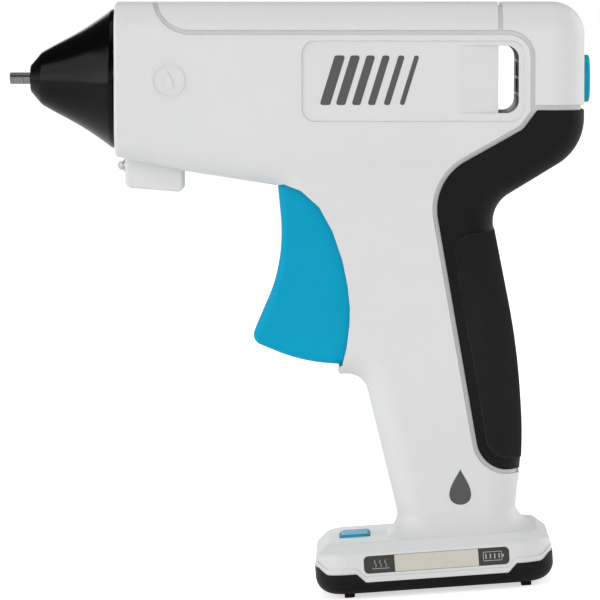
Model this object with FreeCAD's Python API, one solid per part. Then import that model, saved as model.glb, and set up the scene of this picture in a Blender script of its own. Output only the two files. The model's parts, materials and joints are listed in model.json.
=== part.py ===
"""Cordless glue gun with a stand foot, in its own frame.

The nose points along -X and the foot stands flat on z = 0, so the barrel is pitched
nose-up by BARREL_PITCH. Barrel-side features are drawn in the barrel frame (barrel axis
on z = 0) and turned into the row frame by to_row. All sizes are in millimetres.
"""
import FreeCAD, Part
import math
import os
from FreeCAD import Vector, Placement, Rotation

os.makedirs("parts", exist_ok=True)

# ---- driving dimensions: frame -------------------------------------------------------
BARREL_PITCH = 4.2
BARREL_ORIGIN = Vector(0.2, 0.0, 178.0)

# ---- housing -------------------------------------------------------------------------
WALL = 2.8
SKIN = 1.2
GROOVE = 1.5
BARREL_FRONT = -62.8
BARREL_REAR = 97.1
BARREL_TOP = 26.4
BARREL_HALF = 25.5
GRIP_HALF = 19.6
NECK_HALF = 17.4
TOP_ROUND = 10.4
UNDER_ROUND = 10.0

# ---- melt line along the barrel axis --------------------------------------------------
BORE_R = 5.9
CONE_RIM_X = -63.5
CONE_RIM_R = 24.0
CONE_END_X = -92.8
TIP_R = 2.0
TIP_END_X = -100.0
TIP_NECK_X = -93.1
TIP_ROOT_R = 1.75
CHAMBER_FRONT = -70.0
CHAMBER_REAR = -24.0
CHAMBER_R = 10.0
SLEEVE_REAR = -4.0
GUIDE_FRONT = 45.0
GUIDE_REAR = 65.7

# ---- see-through window ----------------------------------------------------------------
WINDOW_X0 = 67.6
WINDOW_X1 = 74.5
WINDOW_TOP = 11.5
WINDOW_LOW = -11.3
LINER_WALL = 1.2

# ---- trigger and feed -------------------------------------------------------------------
PIVOT_X = 14.8
PIVOT_Z = -31.4
TRIGGER_HALF = 15.0
TRIGGER_TRAVEL = 12.0
COIL_POINTS = 12
PIN_R = 2.0
RUN_FIT = 0.05
ARM_TILT = TRIGGER_TRAVEL / 2.0
CARRIAGE_X = PIVOT_X - PIVOT_Z * math.tan(math.radians(ARM_TILT))
STUD_R = 1.6
RAIL_R = 1.5
RAIL_Y = 12.5

# ---- foot, in the row frame --------------------------------------------------------------
FOOT_X0 = -6.0
FOOT_X1 = 74.4
FOOT_HALF = 28.0
FOOT_TOP = 18.9
FOOT_CORNER = 11.0
CHAMFER_OUT = 4.2
CHAMFER_DOWN = 3.6
SHOULDER_ROUND = 1.6
SKIRT_END_Z = 8.7
SKIRT_MID_Z = 5.7
STEP_X0 = 7.6
STEP_X1 = 62.3
EAR_RISE = 2.4
LIP_HEIGHT = 1.9
LIP_PROUD = 0.3
BASE_Z = 1.4
NECK_FRONT = 24.1
NECK_REAR = 63.2
NECK_SIDE = 17.75

# ---- cells ---------------------------------------------------------------------------------
CELL_R = 9.15
CELL_LOW = 25.0
CELL_LENGTH = 65.0
CELL_REAR_X = 52.2
CELL_PITCH = 18.6

# ---- screws ----------------------------------------------------------------------------------
SCREW_R = 1.3
HEAD_R = 2.6
BOSS_R = 3.2
HOUSING_SCREWS = [(-50.0, 14.0), (-50.0, -17.6), (-8.0, 11.4), (-12.6, -25.4),
                  (33.0, -21.5), (54.0, -22.5), (28.9, -112.0)]
BASE_SCREWS = [(12.0, -19.5), (12.0, 19.5), (56.0, -19.5), (56.0, 19.5)]


# ======================================================================================
# helpers
# ======================================================================================
def row_matrix():
    """Placement that carries barrel-frame geometry into the row frame."""
    return Placement(BARREL_ORIGIN, Rotation(Vector(0, 1, 0), BARREL_PITCH))


def to_row(shape):
    """A copy of a barrel-frame shape in the row frame."""
    placed = shape.copy()
    placed.transformShape(row_matrix().toMatrix(), True)
    return placed


def save(node, shape):
    """Write one node, with a note of its volume and validity."""
    shape.exportStep("parts/%s.step" % node)
    print("%-20s solids %2d  valid %s  volume %9.1f" % (node, len(shape.Solids), shape.isValid(),
                                                         shape.Volume))


def rounded_wire(corners, plane="XZ"):
    """Closed wire through (u, v, radius) corners, each corner rounded by its radius."""
    def lift(u, v):
        if plane == "XZ":
            return Vector(u, 0, v)
        if plane == "XY":
            return Vector(u, v, 0)
        return Vector(0, u, v)
    points = [lift(u, v) for u, v, _ in corners]
    starts, ends, arcs = [], [], []
    for index, (_, _, radius) in enumerate(corners):
        corner = points[index]
        back = (points[index - 1] - corner).normalize()
        ahead = (points[(index + 1) % len(points)] - corner).normalize()
        if radius <= 0:
            starts.append(corner)
            ends.append(corner)
            arcs.append(None)
            continue
        half = back.getAngle(ahead) / 2.0
        start = corner + back * (radius / math.tan(half))
        end = corner + ahead * (radius / math.tan(half))
        bisector = (back + ahead).normalize()
        middle = corner + bisector * (radius / math.sin(half) - radius)
        starts.append(start)
        ends.append(end)
        arcs.append(Part.Arc(start, middle, end).toShape())
    edges = []
    for index in range(len(points)):
        if arcs[index]:
            edges.append(arcs[index])
        following = starts[(index + 1) % len(points)]
        if (ends[index] - following).Length > 1e-6:
            edges.append(Part.LineSegment(ends[index], following).toShape())
    return Part.Wire(Part.__sortEdges__(edges))


def sharp(points):
    """Corners with no rounding."""
    return [(u, v, 0.0) for u, v in points]


def slab(corners, y0, y1):
    """Side-view outline pushed from y0 to y1."""
    face = Part.Face(rounded_wire(corners))
    solid = face.extrude(Vector(0, y1 - y0, 0))
    solid.translate(Vector(0, y0, 0))
    return solid


def plate(corners, z0, z1):
    """Plan-view outline pushed from z0 to z1."""
    face = Part.Face(rounded_wire(corners, "XY"))
    solid = face.extrude(Vector(0, 0, z1 - z0))
    solid.translate(Vector(0, 0, z0))
    return solid


def box(x0, x1, y0, y1, z0, z1):
    """Box between two opposite corners."""
    return Part.makeBox(x1 - x0, y1 - y0, z1 - z0, Vector(x0, y0, z0))


def rod(radius, start, direction, length):
    """Round rod from a point along a direction."""
    return Part.makeCylinder(radius, length, start, direction)


def rod_x(radius, x0, x1, y=0.0, z=0.0):
    """Round rod along X."""
    return rod(radius, Vector(x0, y, z), Vector(1, 0, 0), x1 - x0)


def rod_y(radius, y0, y1, x=0.0, z=0.0):
    """Round rod along Y."""
    return rod(radius, Vector(x, y0, z), Vector(0, 1, 0), y1 - y0)


def rod_z(radius, z0, z1, x=0.0, y=0.0):
    """Round rod along Z."""
    return rod(radius, Vector(x, y, z0), Vector(0, 0, 1), z1 - z0)


def turned(profile):
    """Solid of revolution about the barrel axis from (x, radius) points."""
    wire = Part.makePolygon([Vector(x, 0, r) for x, r in profile + [profile[0]]])
    return Part.Face(wire).revolve(Vector(0, 0, 0), Vector(1, 0, 0), 360)


def one(shape):
    """The largest solid of a shape, cleaned of splitter faces."""
    solid = max(shape.Solids, key=lambda piece: piece.Volume)
    return solid.removeSplitter()


def coil(radius, wire_r, length, turns, start):
    """Compression spring standing along Z from start."""
    count = turns * COIL_POINTS
    points = []
    for index in range(count + 1):
        angle = 2.0 * math.pi * index / COIL_POINTS
        points.append(Vector(radius * math.cos(angle), radius * math.sin(angle), length * index / count))
    centre_line = Part.BSplineCurve()
    centre_line.interpolate(points)
    section = Part.Wire(Part.makeCircle(wire_r, Vector(radius, 0, 0), Vector(0, 1, 0)))
    spring = Part.Wire(centre_line.toShape()).makePipeShell([section], True, True)
    spring.translate(start)
    return spring


# ======================================================================================
# outer body: side outline crossed with a front outline, long edges rolled round
# ======================================================================================
BODY_OUTLINE = [
    (BARREL_FRONT, BARREL_TOP, 0.0), (BARREL_REAR, BARREL_TOP, 11.2), (BARREL_REAR, -23.4, 18.5),
    (65.0, -43.4, 11.3), (74.6, -92.0, 250.0), (76.8, -126.0, 140.0), (74.4, -146.0, 50.0),
    (74.4, -172.0, 0.0), (39.3, -172.0, 0.0), (22.0, -101.4, 7.0), (-6.0, -101.4, 11.0),
    (-6.0, -36.6, 4.0), (-38.0, -31.6, 150.0), (BARREL_FRONT, -26.4, 0.0)]
TRIGGER_EDGE = [
    (-40.0, -36.3), (-7.8, -36.3), (-5.2, -35.8), (0.7, -38.0), (6.9, -43.6), (11.4, -51.8),
    (14.8, -61.8), (16.6, -70.7), (17.35, -78.0), (17.2, -84.0), (16.2, -92.1), (14.7, -98.0),
    (13.4, -98.7), (13.3, -100.2), (14.4, -102.5), (-40.0, -102.5)]


def section_wall(inset):
    """Front outline of barrel and grip: flat flanks that flow into the slimmer grip."""
    half = BARREL_HALF - inset
    grip = GRIP_HALF - inset
    neck = NECK_HALF - inset
    right = [(half, 60.0, 0.0), (half, -19.0, 44.0), (grip, -36.0, 44.0), (neck, -175.0, 0.0)]
    left = [(-y, z, r) for y, z, r in reversed(right)]
    face = Part.Face(rounded_wire(left + right, "YZ"))
    solid = face.extrude(Vector(260, 0, 0))
    solid.translate(Vector(-100, 0, 0))
    return solid


def body(inset, rim=True):
    """Barrel and grip solid in the barrel frame, every face moved inwards by inset."""
    wire = rounded_wire(BODY_OUTLINE)
    if inset > 0:
        wire = wire.makeOffset2D(-inset, join=2)
    prism = Part.Face(wire).extrude(Vector(0, 80, 0))
    prism.translate(Vector(0, -40, 0))
    solid = prism.common(section_wall(inset)).Solids[0]
    front = BARREL_FRONT + inset + 0.01
    back_chain, front_chain = [], []
    for edge in solid.Edges:
        ends = [vertex.Point for vertex in edge.Vertexes]
        flank = all(abs(p.y) > 8 for p in ends) and ends[0].y * ends[-1].y > 0
        if not flank:
            continue
        if all(p.x < front for p in ends) or all(p.z < -171.9 + inset for p in ends):
            continue
        middle = edge.valueAt((edge.FirstParameter + edge.LastParameter) / 2.0)
        is_back = middle.z > 20.0 or middle.x > 60.0
        (back_chain if is_back else front_chain).append(edge)
    solid = solid.makeFillet(TOP_ROUND - inset, back_chain)
    front_edges = []
    for edge in solid.Edges:
        ends = [vertex.Point for vertex in edge.Vertexes]
        for kept in front_chain:
            if (edge.CenterOfMass - kept.CenterOfMass).Length < 0.6:
                front_edges.append(edge)
                break
    solid = solid.makeFillet(UNDER_ROUND - inset, front_edges)
    if rim:
        loop = [e for e in solid.Edges if all(v.Point.x < front for v in e.Vertexes)]
        solid = solid.makeFillet(1.4, loop)
    return solid


def foot_corners(inset):
    """Plan outline of the foot, moved inwards by inset."""
    x0, x1, half = FOOT_X0 + inset, FOOT_X1 - inset, FOOT_HALF - inset
    radius = FOOT_CORNER - inset
    return [(x0, -half, radius), (x1, -half, radius), (x1, half, radius), (x0, half, radius)]


def foot(inset, low, soft=0.0):
    """Foot solid in the row frame: straight skirt with a chamfered shoulder, softened if asked."""
    shoulder = FOOT_TOP - CHAMFER_DOWN - inset * 0.5
    top = FOOT_TOP - inset
    skirt = plate(foot_corners(inset), low, shoulder)
    lower = rounded_wire(foot_corners(inset), "XY")
    lower.translate(Vector(0, 0, shoulder))
    upper = rounded_wire(foot_corners(inset + CHAMFER_OUT), "XY")
    upper.translate(Vector(0, 0, top))
    solid = skirt.fuse(Part.makeLoft([lower, upper], True, True)).removeSplitter()
    if soft > 0:
        rims = [e for e in solid.Edges if e.BoundBox.ZMin > shoulder - 0.1 and e.BoundBox.ZLength < 0.1]
        solid = solid.makeFillet(soft, rims)
    return solid


def skirt_line(drop):
    """Side-view region below the foot's lower edge, which steps down along the middle."""
    end, middle = SKIRT_END_Z - drop, SKIRT_MID_Z - drop
    front, rear, ear = FOOT_X0 + 0.6, FOOT_X1 - 0.6, end + EAR_RISE
    return slab([(-40, -20, 0.0), (110, -20, 0.0), (110, ear, 0.0), (rear, ear, 0.0), (rear - 2.8, end, 3.0),
                 (STEP_X1, end, 1.0), (STEP_X1 - 3.0, middle, 1.0), (STEP_X0 + 3.0, middle, 1.0),
                 (STEP_X0, end, 1.0), (front + 2.8, end, 3.0), (front, ear, 0.0), (-40, ear, 0.0)], -40, 40)


# ======================================================================================
# regions of the flank, as side-view slabs in the barrel frame
# ======================================================================================
COVER_REGION = [(-49.4, 40.0, 0.0), (-47.7, 16.7, 12.0), (67.5, 16.7, 0.0), (67.5, 40.0, 0.0)]
CAP_REGION = [(69.0, 40.0, 0.0), (69.0, 16.7, 0.0), (80.0, 16.7, 9.0), (80.0, -8.6, 0.0),
              (120.0, -8.6, 0.0), (120.0, 40.0, 0.0)]
GRIP_REGION = [(120.0, -10.3, 0.0), (80.7, -10.3, 1.2), (76.0, -16.7, 6.0), (45.0, -34.4, 19.0),
               (62.4, -133.6, 11.0), (120.0, -133.6, 0.0)]


def region(corners, grow=0.0):
    """Slab of a region, widened by the groove where grow is given."""
    wire = rounded_wire(corners)
    if grow > 0:
        wire = wire.makeOffset2D(grow, join=2)
    solid = Part.Face(wire).extrude(Vector(0, 80, 0))
    solid.translate(Vector(0, -40, 0))
    return solid


def window_outline(grow=0.0):
    """Side outline of the stick window: square at the front, rounded at the rear."""
    x0, x1 = WINDOW_X0 - grow, WINDOW_X1 + grow
    low, top = WINDOW_LOW - grow, WINDOW_TOP + grow
    return [(x0, low, 0.3), (x1, low, 4.2 + grow), (x1, top, 4.2 + grow), (x0, top, 0.3)]


outer = body(0.0)
under_skin = body(SKIN, rim=False)
hollow = body(WALL, rim=False)
skin_shell = outer.cut(under_skin)
recess = region(COVER_REGION, GROOVE).fuse([region(CAP_REGION, GROOVE), region(GRIP_REGION, GROOVE)])

# ---- snap-on skins --------------------------------------------------------------------
collar_hole = rod_x(8.25, 90.0, 102.0)
top_cover = one(skin_shell.common(region(COVER_REGION)))
rear_cap = one(skin_shell.common(region(CAP_REGION)).cut(collar_hole))
grip_overmold = one(skin_shell.common(region(GRIP_REGION)))

# ---- work-light pod under the nose ---------------------------------------------------------
POD = [(-60.0, -20.0, 0.0), (-40.0, -20.0, 0.0), (-40.0, -39.0, 2.0), (-60.0, -37.4, 2.2)]
POD_INNER = [(-58.2, -18.0, 0.0), (-41.8, -18.0, 0.0), (-41.8, -37.1, 0.6), (-58.2, -35.6, 0.6)]
POD_HALF = 8.0
pod = slab(POD, -POD_HALF, POD_HALF)
pod_rim = [e for e in pod.Edges if e.CenterOfMass.z < -30.0 and abs(abs(e.CenterOfMass.y) - POD_HALF) < 0.1]
pod = pod.makeFillet(1.2, pod_rim)

# ---- housing shell in the barrel frame --------------------------------------------------------
shell = outer.fuse(pod).cut(skin_shell.common(recess))
cavity = hollow.fuse(slab(POD_INNER, -6.2, 6.2))
panel = [(1.0, -14.2, 4.5), (76.3, -14.2, 4.5), (76.3, 13.1, 4.5), (1.0, 13.1, 4.5)]
for side in (-1, 1):
    face_y = side * BARREL_HALF
    shell = shell.cut(slab(panel, face_y - 0.5, face_y + 0.5))
    ramp_floor = [(53.5, face_y - side * 0.4), (WINDOW_X1 - 3.0, face_y - side * 2.1),
                  (WINDOW_X1 - 3.0, face_y + side * 1.0), (53.5, face_y + side * 1.0)]
    ramp = plate(sharp(ramp_floor), WINDOW_LOW, WINDOW_TOP)
    shell = shell.cut(ramp)
trigger_gap = slab(sharp(TRIGGER_EDGE), -40, 40)
window_hole = slab(window_outline(), -40, 40)


def rib(x0, x1, hole_r, low=-22.0):
    """Cross wall of the housing round a tube on the barrel axis."""
    wall = box(x0, x1, -30, 30, low, 24.0).cut(box(x0 - 1, x1 + 1, 10, 30, -24, -14)).common(hollow)
    return wall.cut(rod_x(hole_r, x0 - 1, x1 + 1))


RAIL_RIBS = [(1.6, 4.0), (41.0, 43.4)]
ribs = [rib(-57.0, -54.0, 17.05), rib(-30.0, -27.0, 17.05), rib(48.0, 50.0, 8.05, -26.0),
        rib(62.0, 64.0, 8.05, -16.0), rib(83.0, 85.0, 7.65, -16.0)]
for x0, x1 in RAIL_RIBS:
    wall = rib(x0, x1, 8.8, -11.0)
    for side in (-1, 1):
        wall = wall.cut(rod_x(RAIL_R, x0 - 1, x1 + 1, side * RAIL_Y))
    ribs.append(wall)
cheek_zone = slab(sharp([(-7.8, -34.0), (2.0, -36.0), (9.0, -42.0), (16.0, -53.0), (22.0, -68.0),
                         (23.0, -84.0), (20.0, -97.4), (15.0, -98.3), (14.6, -101.8), (6.0, -101.8),
                         (6.0, -60.0), (-9.0, -41.0)]), -40, 40)
cheeks = under_skin.common(cheek_zone).cut(box(-20, 40, -15.4, 15.4, -120, -30))
bosses = []
for x, z in HOUSING_SCREWS:
    bosses.append(rod_y(BOSS_R, -30, 30, x, z).common(under_skin))
for side in (-1, 1):
    bosses.append(rod_y(4.6, min(side * 18.2, side * 30), max(side * 18.2, side * 30), PIVOT_X, PIVOT_Z)
                  .common(under_skin))
trigger_slot = slab(sharp([(-8.0, -28.0), (33.0, -28.0), (33.0, -96.0), (15.0, -98.4), (8.0, -98.4),
                           (-8.0, -60.0)]), -15.4, 15.4)
spring_seat = box(38.0, 40.4, -18, 18, -67.0, -57.0).common(under_skin)

# ---- join barrel and foot in the row frame ----------------------------------------------------
above_foot = box(-150, 150, -60, 60, 13.0, 260)
outer_row = to_row(shell).common(above_foot).fuse(foot(0.0, 0.0, SHOULDER_ROUND)).removeSplitter()
flare_steps = [(28.0, -0.6), (25.0, 0.2), (22.6, 1.2), (20.8, 2.6), (19.6, 4.2), (FOOT_TOP - 0.3, 5.8)]
flare = []
for z, swell in flare_steps:
    front_x = NECK_FRONT - 0.17 * (z - FOOT_TOP) - swell
    rear_x = NECK_REAR + 0.07 * (z - FOOT_TOP) + swell
    half = NECK_SIDE + swell
    corner = UNDER_ROUND + swell
    ring = rounded_wire([(front_x, -half, corner), (rear_x, -half, corner), (rear_x, half, corner),
                         (front_x, half, corner)], "XY")
    ring.translate(Vector(0, 0, z))
    flare.append(ring)
neck_flare = Part.makeLoft(flare, True, False)
outer_row = outer_row.fuse(neck_flare).removeSplitter()
outer_row = outer_row.fuse(foot(-LIP_PROUD, 0.0).common(skirt_line(-LIP_HEIGHT)))
cavity_row = to_row(cavity).fuse(foot(WALL, 0.0))
cells = [(CELL_REAR_X, 0.0), (CELL_REAR_X - CELL_PITCH, 0.0)]
for x, y in cells:
    cavity_row = cavity_row.fuse(rod_z(CELL_R + 0.15, CELL_LOW - 6.0, CELL_LOW + CELL_LENGTH + 0.5, x, y))

# ---- foot openings --------------------------------------------------------------------------
STRIP_X0, STRIP_X1 = 10.3, 59.9
STRIP_Z0, STRIP_Z1 = 8.6, 14.6
ICON_LENGTH = 10.4
BUTTON_X0, BUTTON_X1, BUTTON_HALF = 2.7, 12.7, 7.5
BUTTON_PROUD = 0.9
strip_slot = slab([(STRIP_X0, STRIP_Z0, 1.6), (STRIP_X1, STRIP_Z0, 1.6), (STRIP_X1, STRIP_Z1, 1.6),
                   (STRIP_X0, STRIP_Z1, 1.6)], -40, -20)
button_slot = box(BUTTON_X0 - 0.3, BUTTON_X1 + 0.3, -BUTTON_HALF - 0.3, BUTTON_HALF + 0.3, 10.0, 30.0)
PORT_X0 = FOOT_X1 - 8.4
usb_slot = box(PORT_X0 + 1.4, 80.0, -4.9, 4.9, 11.6, 15.4)
foot_ribs = []
for x, y in BASE_SCREWS:
    foot_ribs.append(rod_z(BOSS_R, 9.0, 17.5, x, y))

housing = outer_row.cut(cavity_row)
inner_parts = [to_row(piece) for piece in ribs + bosses + [cheeks, spring_seat]]
housing = housing.fuse(inner_parts + foot_ribs)
window_sleeve = slab(window_outline(LINER_WALL + 0.05), -22.7, 22.7)
cuts = [to_row(piece) for piece in (trigger_gap, trigger_slot, window_hole, window_sleeve, collar_hole)]
cuts += [to_row(rod_x(20.05, -70.0, -59.0)), strip_slot, button_slot, usb_slot, skirt_line(0.0)]
cuts += [to_row(rod_y(PIN_R, -19.6, 19.6, PIVOT_X, PIVOT_Z)), to_row(rod_x(1.75, -64.0, -57.0, 0.0, -30.0))]
for x, z in HOUSING_SCREWS:
    reach = 19.0 if z < -50 else 25.5
    cuts.append(to_row(rod_y(SCREW_R, -12.0, 30.0, x, z)))
    cuts.append(to_row(rod_y(HEAD_R + 0.2, reach - 2.6, 40.0, x, z)))
for x, y in BASE_SCREWS:
    cuts.append(rod_z(SCREW_R, 0.0, 16.0, x, y))
housing = housing.cut(cuts[0])
for tool in cuts[1:]:
    housing = housing.cut(tool)
left_housing = one(housing.common(box(-150, 150, -60, 0, -10, 260)))
right_housing = one(housing.common(box(-150, 150, 0, 60, -10, 260)))
save("left_housing", left_housing)
save("right_housing", right_housing)
save("top_cover", to_row(top_cover))
save("rear_cap", to_row(rear_cap))
save("grip_overmold", to_row(grip_overmold))

# ======================================================================================
# melt line: nozzle, valve, chamber, sleeve and guides, all about the barrel axis
# ======================================================================================
cone_outside = [(CONE_END_X, 5.2), (-92.0, 6.6), (-89.5, 8.8), (-82.0, 12.6), (-74.0, 17.0),
                (-68.5, 21.0), (-65.0, CONE_RIM_R - 0.4), (-64.6, CONE_RIM_R), (CONE_RIM_X, CONE_RIM_R)]
cone_inside = [(CONE_RIM_X, 19.8), (-58.6, 19.8), (-58.6, 17.6), (-68.0, 17.6), (-74.0, 14.2),
               (-89.0, 6.2), (-90.6, 4.3), (CONE_END_X, 4.3)]
save("nose_cone", to_row(turned(cone_outside + cone_inside)))
TIP_BORE_R = 1.0
TIP_SEAT_X = -86.0
save("nozzle_tip", to_row(turned([(TIP_END_X, TIP_BORE_R), (TIP_END_X, TIP_R - 0.3), (TIP_END_X + 0.3, TIP_R),
                                  (TIP_NECK_X, TIP_R), (TIP_NECK_X, TIP_ROOT_R), (TIP_SEAT_X, TIP_ROOT_R),
                                  (TIP_SEAT_X, TIP_BORE_R)])))
nozzle_profile = [(-91.6, TIP_ROOT_R), (-91.6, 3.6), (-84.0, 4.6), (-84.0, 6.0), (-78.0, 6.0), (-78.0, 5.0),
                  (-66.0, 5.0), (-66.0, 2.0), (-70.6, 2.0), (-71.6, 1.2), (-73.0, 1.2), (-73.0, 1.9),
                  (-85.9, 1.9), (-85.9, TIP_ROOT_R)]
save("nozzle_body", to_row(turned(nozzle_profile)))
BALL_R = 1.6
BALL_X = -73.0 - math.sqrt(BALL_R ** 2 - 1.2 ** 2) - 0.03
ball = Part.makeSphere(BALL_R, Vector(BALL_X, 0, 0))
save("check_ball", to_row(ball))
valve_spring = coil(1.35, 0.22, 9.0, 6, Vector(0, 0, 0))
valve_spring.rotate(Vector(0, 0, 0), Vector(0, 1, 0), 90)
valve_spring.translate(Vector(-85.4, 0, 0))
save("check_spring", to_row(valve_spring))

chamber = turned([(CHAMBER_FRONT, 5.02), (CHAMBER_FRONT, CHAMBER_R - 1.0), (CHAMBER_FRONT + 1.0, CHAMBER_R),
                  (CHAMBER_REAR, CHAMBER_R), (CHAMBER_REAR, BORE_R), (-44.0, BORE_R), (-62.0, 2.0),
                  (-66.0, 2.0), (-66.0, 5.02)])
heater_seat = box(-54.0, -33.0, -6.5, 6.5, -10.6, -8.0).cut(rod_x(BORE_R, -60.0, -30.0))
chamber = chamber.fuse(heater_seat).removeSplitter()
save("melt_chamber", to_row(chamber))
save("heater", to_row(box(-53.0, -34.0, -5.0, 5.0, -13.1, -10.6)))
clip_outer = box(-48.0, -39.0, -7.4, 7.4, -13.8, -1.0)
clip_inner = box(-49.0, -38.0, -6.8, 6.8, -13.1, 2.0).fuse(rod_x(CHAMBER_R + 0.05, -49.0, -38.0))
save("heater_clip", to_row(one(clip_outer.cut(clip_inner))))
save("thermal_fuse", to_row(rod_x(1.5, -50.0, -38.0, 8.3, 8.3)))


def mount_ring(x0, x1):
    """Heat-resisting ring that carries the chamber in a cross wall."""
    ring = rod_x(17.0, x0, x1).cut(rod_x(CHAMBER_R + 0.02, x0 - 1, x1 + 1))
    for index in range(6):
        angle = math.radians(30 + 60 * index)
        y, z = 13.5 * math.cos(angle), 13.5 * math.sin(angle)
        ring = ring.cut(rod_x(2.2, x0 - 1, x1 + 1, y, z))
    return ring


save("front_mount_ring", to_row(mount_ring(-57.0, -54.0)))
save("rear_mount_ring", to_row(mount_ring(-30.0, -27.0)))
save("inlet_sleeve", to_row(turned([(CHAMBER_REAR, BORE_R - 0.1), (CHAMBER_REAR, 9.4), (-20.0, 9.4),
                                    (-18.0, 7.8), (SLEEVE_REAR, 7.8), (SLEEVE_REAR, 7.0),
                                    (-7.0, BORE_R - 0.1)])))
save("feed_guide", to_row(turned([(GUIDE_FRONT, BORE_R), (GUIDE_FRONT, 8.0), (50.4, 8.0), (50.4, 9.6),
                                  (61.6, 9.6), (61.6, 8.0), (GUIDE_REAR, 8.0), (GUIDE_REAR, 7.0),
                                  (GUIDE_REAR - 1.6, BORE_R)])))
save("feed_collar", to_row(turned([(77.5, BORE_R), (77.5, 7.6), (91.5, 7.6), (91.5, 10.0), (94.1, 10.0),
                                   (94.1, 8.15), (99.0, 8.15), (99.5, 7.6), (99.5, 6.9), (97.7, BORE_R)])))

liner = slab(window_outline(LINER_WALL), -22.5, 22.5).cut(slab(window_outline(), -30, 30))
liner = liner.cut(rod_x(BORE_R, 60.0, 90.0))
save("window_liner", to_row(one(liner)))

# ======================================================================================
# trigger and stick feed
# ======================================================================================
TRIGGER_OUTLINE = [
    (-7.2, -26.0, 0.0), (-7.8, -31.8, 15.0), (-5.0, -62.0, 60.0), (-16.9, -89.6, 3.7), (0.8, -96.9, 60.0),
    (14.9, -97.8, 0.0), (17.0, -97.7, 0.0), (19.6, -76.0, 60.0), (12.0, -46.0, 0.0), (14.8, -35.0, 0.0),
    (14.8, -26.5, 0.0)]
TRIGGER_ROUND = 3.0
trigger = slab(TRIGGER_OUTLINE, -TRIGGER_HALF, TRIGGER_HALF)
round_edges = []
for edge in trigger.Edges:
    middle = edge.valueAt((edge.FirstParameter + edge.LastParameter) / 2.0)
    front = middle.x < 9.0 and middle.z < -27.0
    if front and abs(abs(middle.y) - TRIGGER_HALF) < 0.1:
        round_edges.append(edge)
trigger = trigger.makeFillet(TRIGGER_ROUND, round_edges)
pocket = slab([(1.0, -48.0, 3.0), (5.0, -88.0, 3.0), (30.0, -90.0, 0.0), (30.0, -46.0, 0.0)],
              -TRIGGER_HALF + 2.4, TRIGGER_HALF - 2.4)
trigger = trigger.cut(pocket)
ARM_IN, ARM_OUT = 15.2, 17.0
STUD_SLOT = STUD_R + 0.2
lean = math.tan(math.radians(ARM_TILT))
for side in (-1, 1):
    near, far = sorted((side * (TRIGGER_HALF - 3.0), side * ARM_OUT))
    trigger = trigger.fuse(rod_y(4.6, near, far, PIVOT_X, PIVOT_Z))
    near, far = sorted((side * ARM_IN, side * ARM_OUT))
    arm = [(PIVOT_X - 4.6, PIVOT_Z, 0.0), (PIVOT_X + 4.6, PIVOT_Z, 0.0),
           (CARRIAGE_X + 4.0, 3.6, 1.5), (CARRIAGE_X - 4.0, 3.6, 1.5)]
    trigger = trigger.fuse(slab(arm, near, far))
    slot_low = CARRIAGE_X - lean * 3.0
    slot_top = CARRIAGE_X + lean * 6.0
    slot = [(slot_low - STUD_SLOT, -3.0, 0.0), (slot_low + STUD_SLOT, -3.0, 0.0),
            (slot_top + STUD_SLOT, 6.0, 0.0), (slot_top - STUD_SLOT, 6.0, 0.0)]
    trigger = trigger.cut(slab(slot, near - 1, far + 1))
trigger = one(trigger.cut(rod_y(PIN_R + RUN_FIT, -30, 30, PIVOT_X, PIVOT_Z)))
save("trigger", to_row(trigger))
save("trigger_pin", to_row(rod_y(PIN_R, -19.5, 19.5, PIVOT_X, PIVOT_Z)))
return_spring = coil(4.0, 0.5, 33.0, 8, Vector(0, 0, 0))
return_spring.rotate(Vector(0, 0, 0), Vector(0, 1, 0), 90)
return_spring.translate(Vector(4.4, 0, -62.0))
save("trigger_spring", to_row(return_spring))

CARRIAGE_X0, CARRIAGE_X1 = 12.2, 33.6
carriage = box(CARRIAGE_X0, CARRIAGE_X1, -9.0, 9.0, -8.6, 8.6).cut(rod_x(BORE_R + 0.3, 0.0, 60.0))
carriage = carriage.cut(box(14.0, 30.0, -2.4, 2.4, 0.0, 12.0))
for side in (-1, 1):
    near, far = sorted((side * 8.0, side * 14.7))
    ear = box(CARRIAGE_X0, CARRIAGE_X1, near, far, -3.0, 3.0).cut(rod_x(BORE_R + 0.3, 0.0, 60.0))
    carriage = carriage.fuse(ear)
    near, far = sorted((side * 14.0, side * 16.9))
    stud = rod_y(STUD_R, near, far, CARRIAGE_X, 0.0)
    carriage = carriage.fuse(stud).cut(rod_x(RAIL_R + RUN_FIT, 0.0, 60.0, side * RAIL_Y))
    near, far = sorted((side * 2.6, side * 4.6))
    lug = slab([(23.0, 7.0, 0.0), (29.0, 7.0, 0.0), (28.6, 15.0, 2.0), (23.4, 15.0, 2.0)], near, far)
    carriage = carriage.fuse(lug)
PAWL_X, PAWL_Z = 26.0, 12.4
PAWL_PIN_R = 1.2
carriage = one(carriage.cut(rod_y(PAWL_PIN_R, -6, 6, PAWL_X, PAWL_Z)))
save("feed_carriage", to_row(carriage))
rails = [rod_x(RAIL_R, RAIL_RIBS[0][0], RAIL_RIBS[1][1], side * RAIL_Y) for side in (-1, 1)]
save("carriage_rails", to_row(Part.makeCompound(rails)))
pawl = slab([(15.6, 6.3, 0.0), (17.4, 6.3, 0.0), (28.0, 10.6, 1.0), (33.0, 12.6, 0.8), (33.0, 14.2, 0.8),
             (25.0, 14.8, 2.0), (15.6, 10.6, 1.0)], -2.1, 2.1)
pawl = one(pawl.cut(rod_y(PAWL_PIN_R + RUN_FIT, -6, 6, PAWL_X, PAWL_Z)))
save("grip_pawl", to_row(pawl))
save("pawl_pin", to_row(rod_y(PAWL_PIN_R, -4.6, 4.6, PAWL_X, PAWL_Z)))
save("pawl_spring", to_row(coil(1.5, 0.25, 2.6, 3, Vector(31.6, 0, 8.9))))

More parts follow.
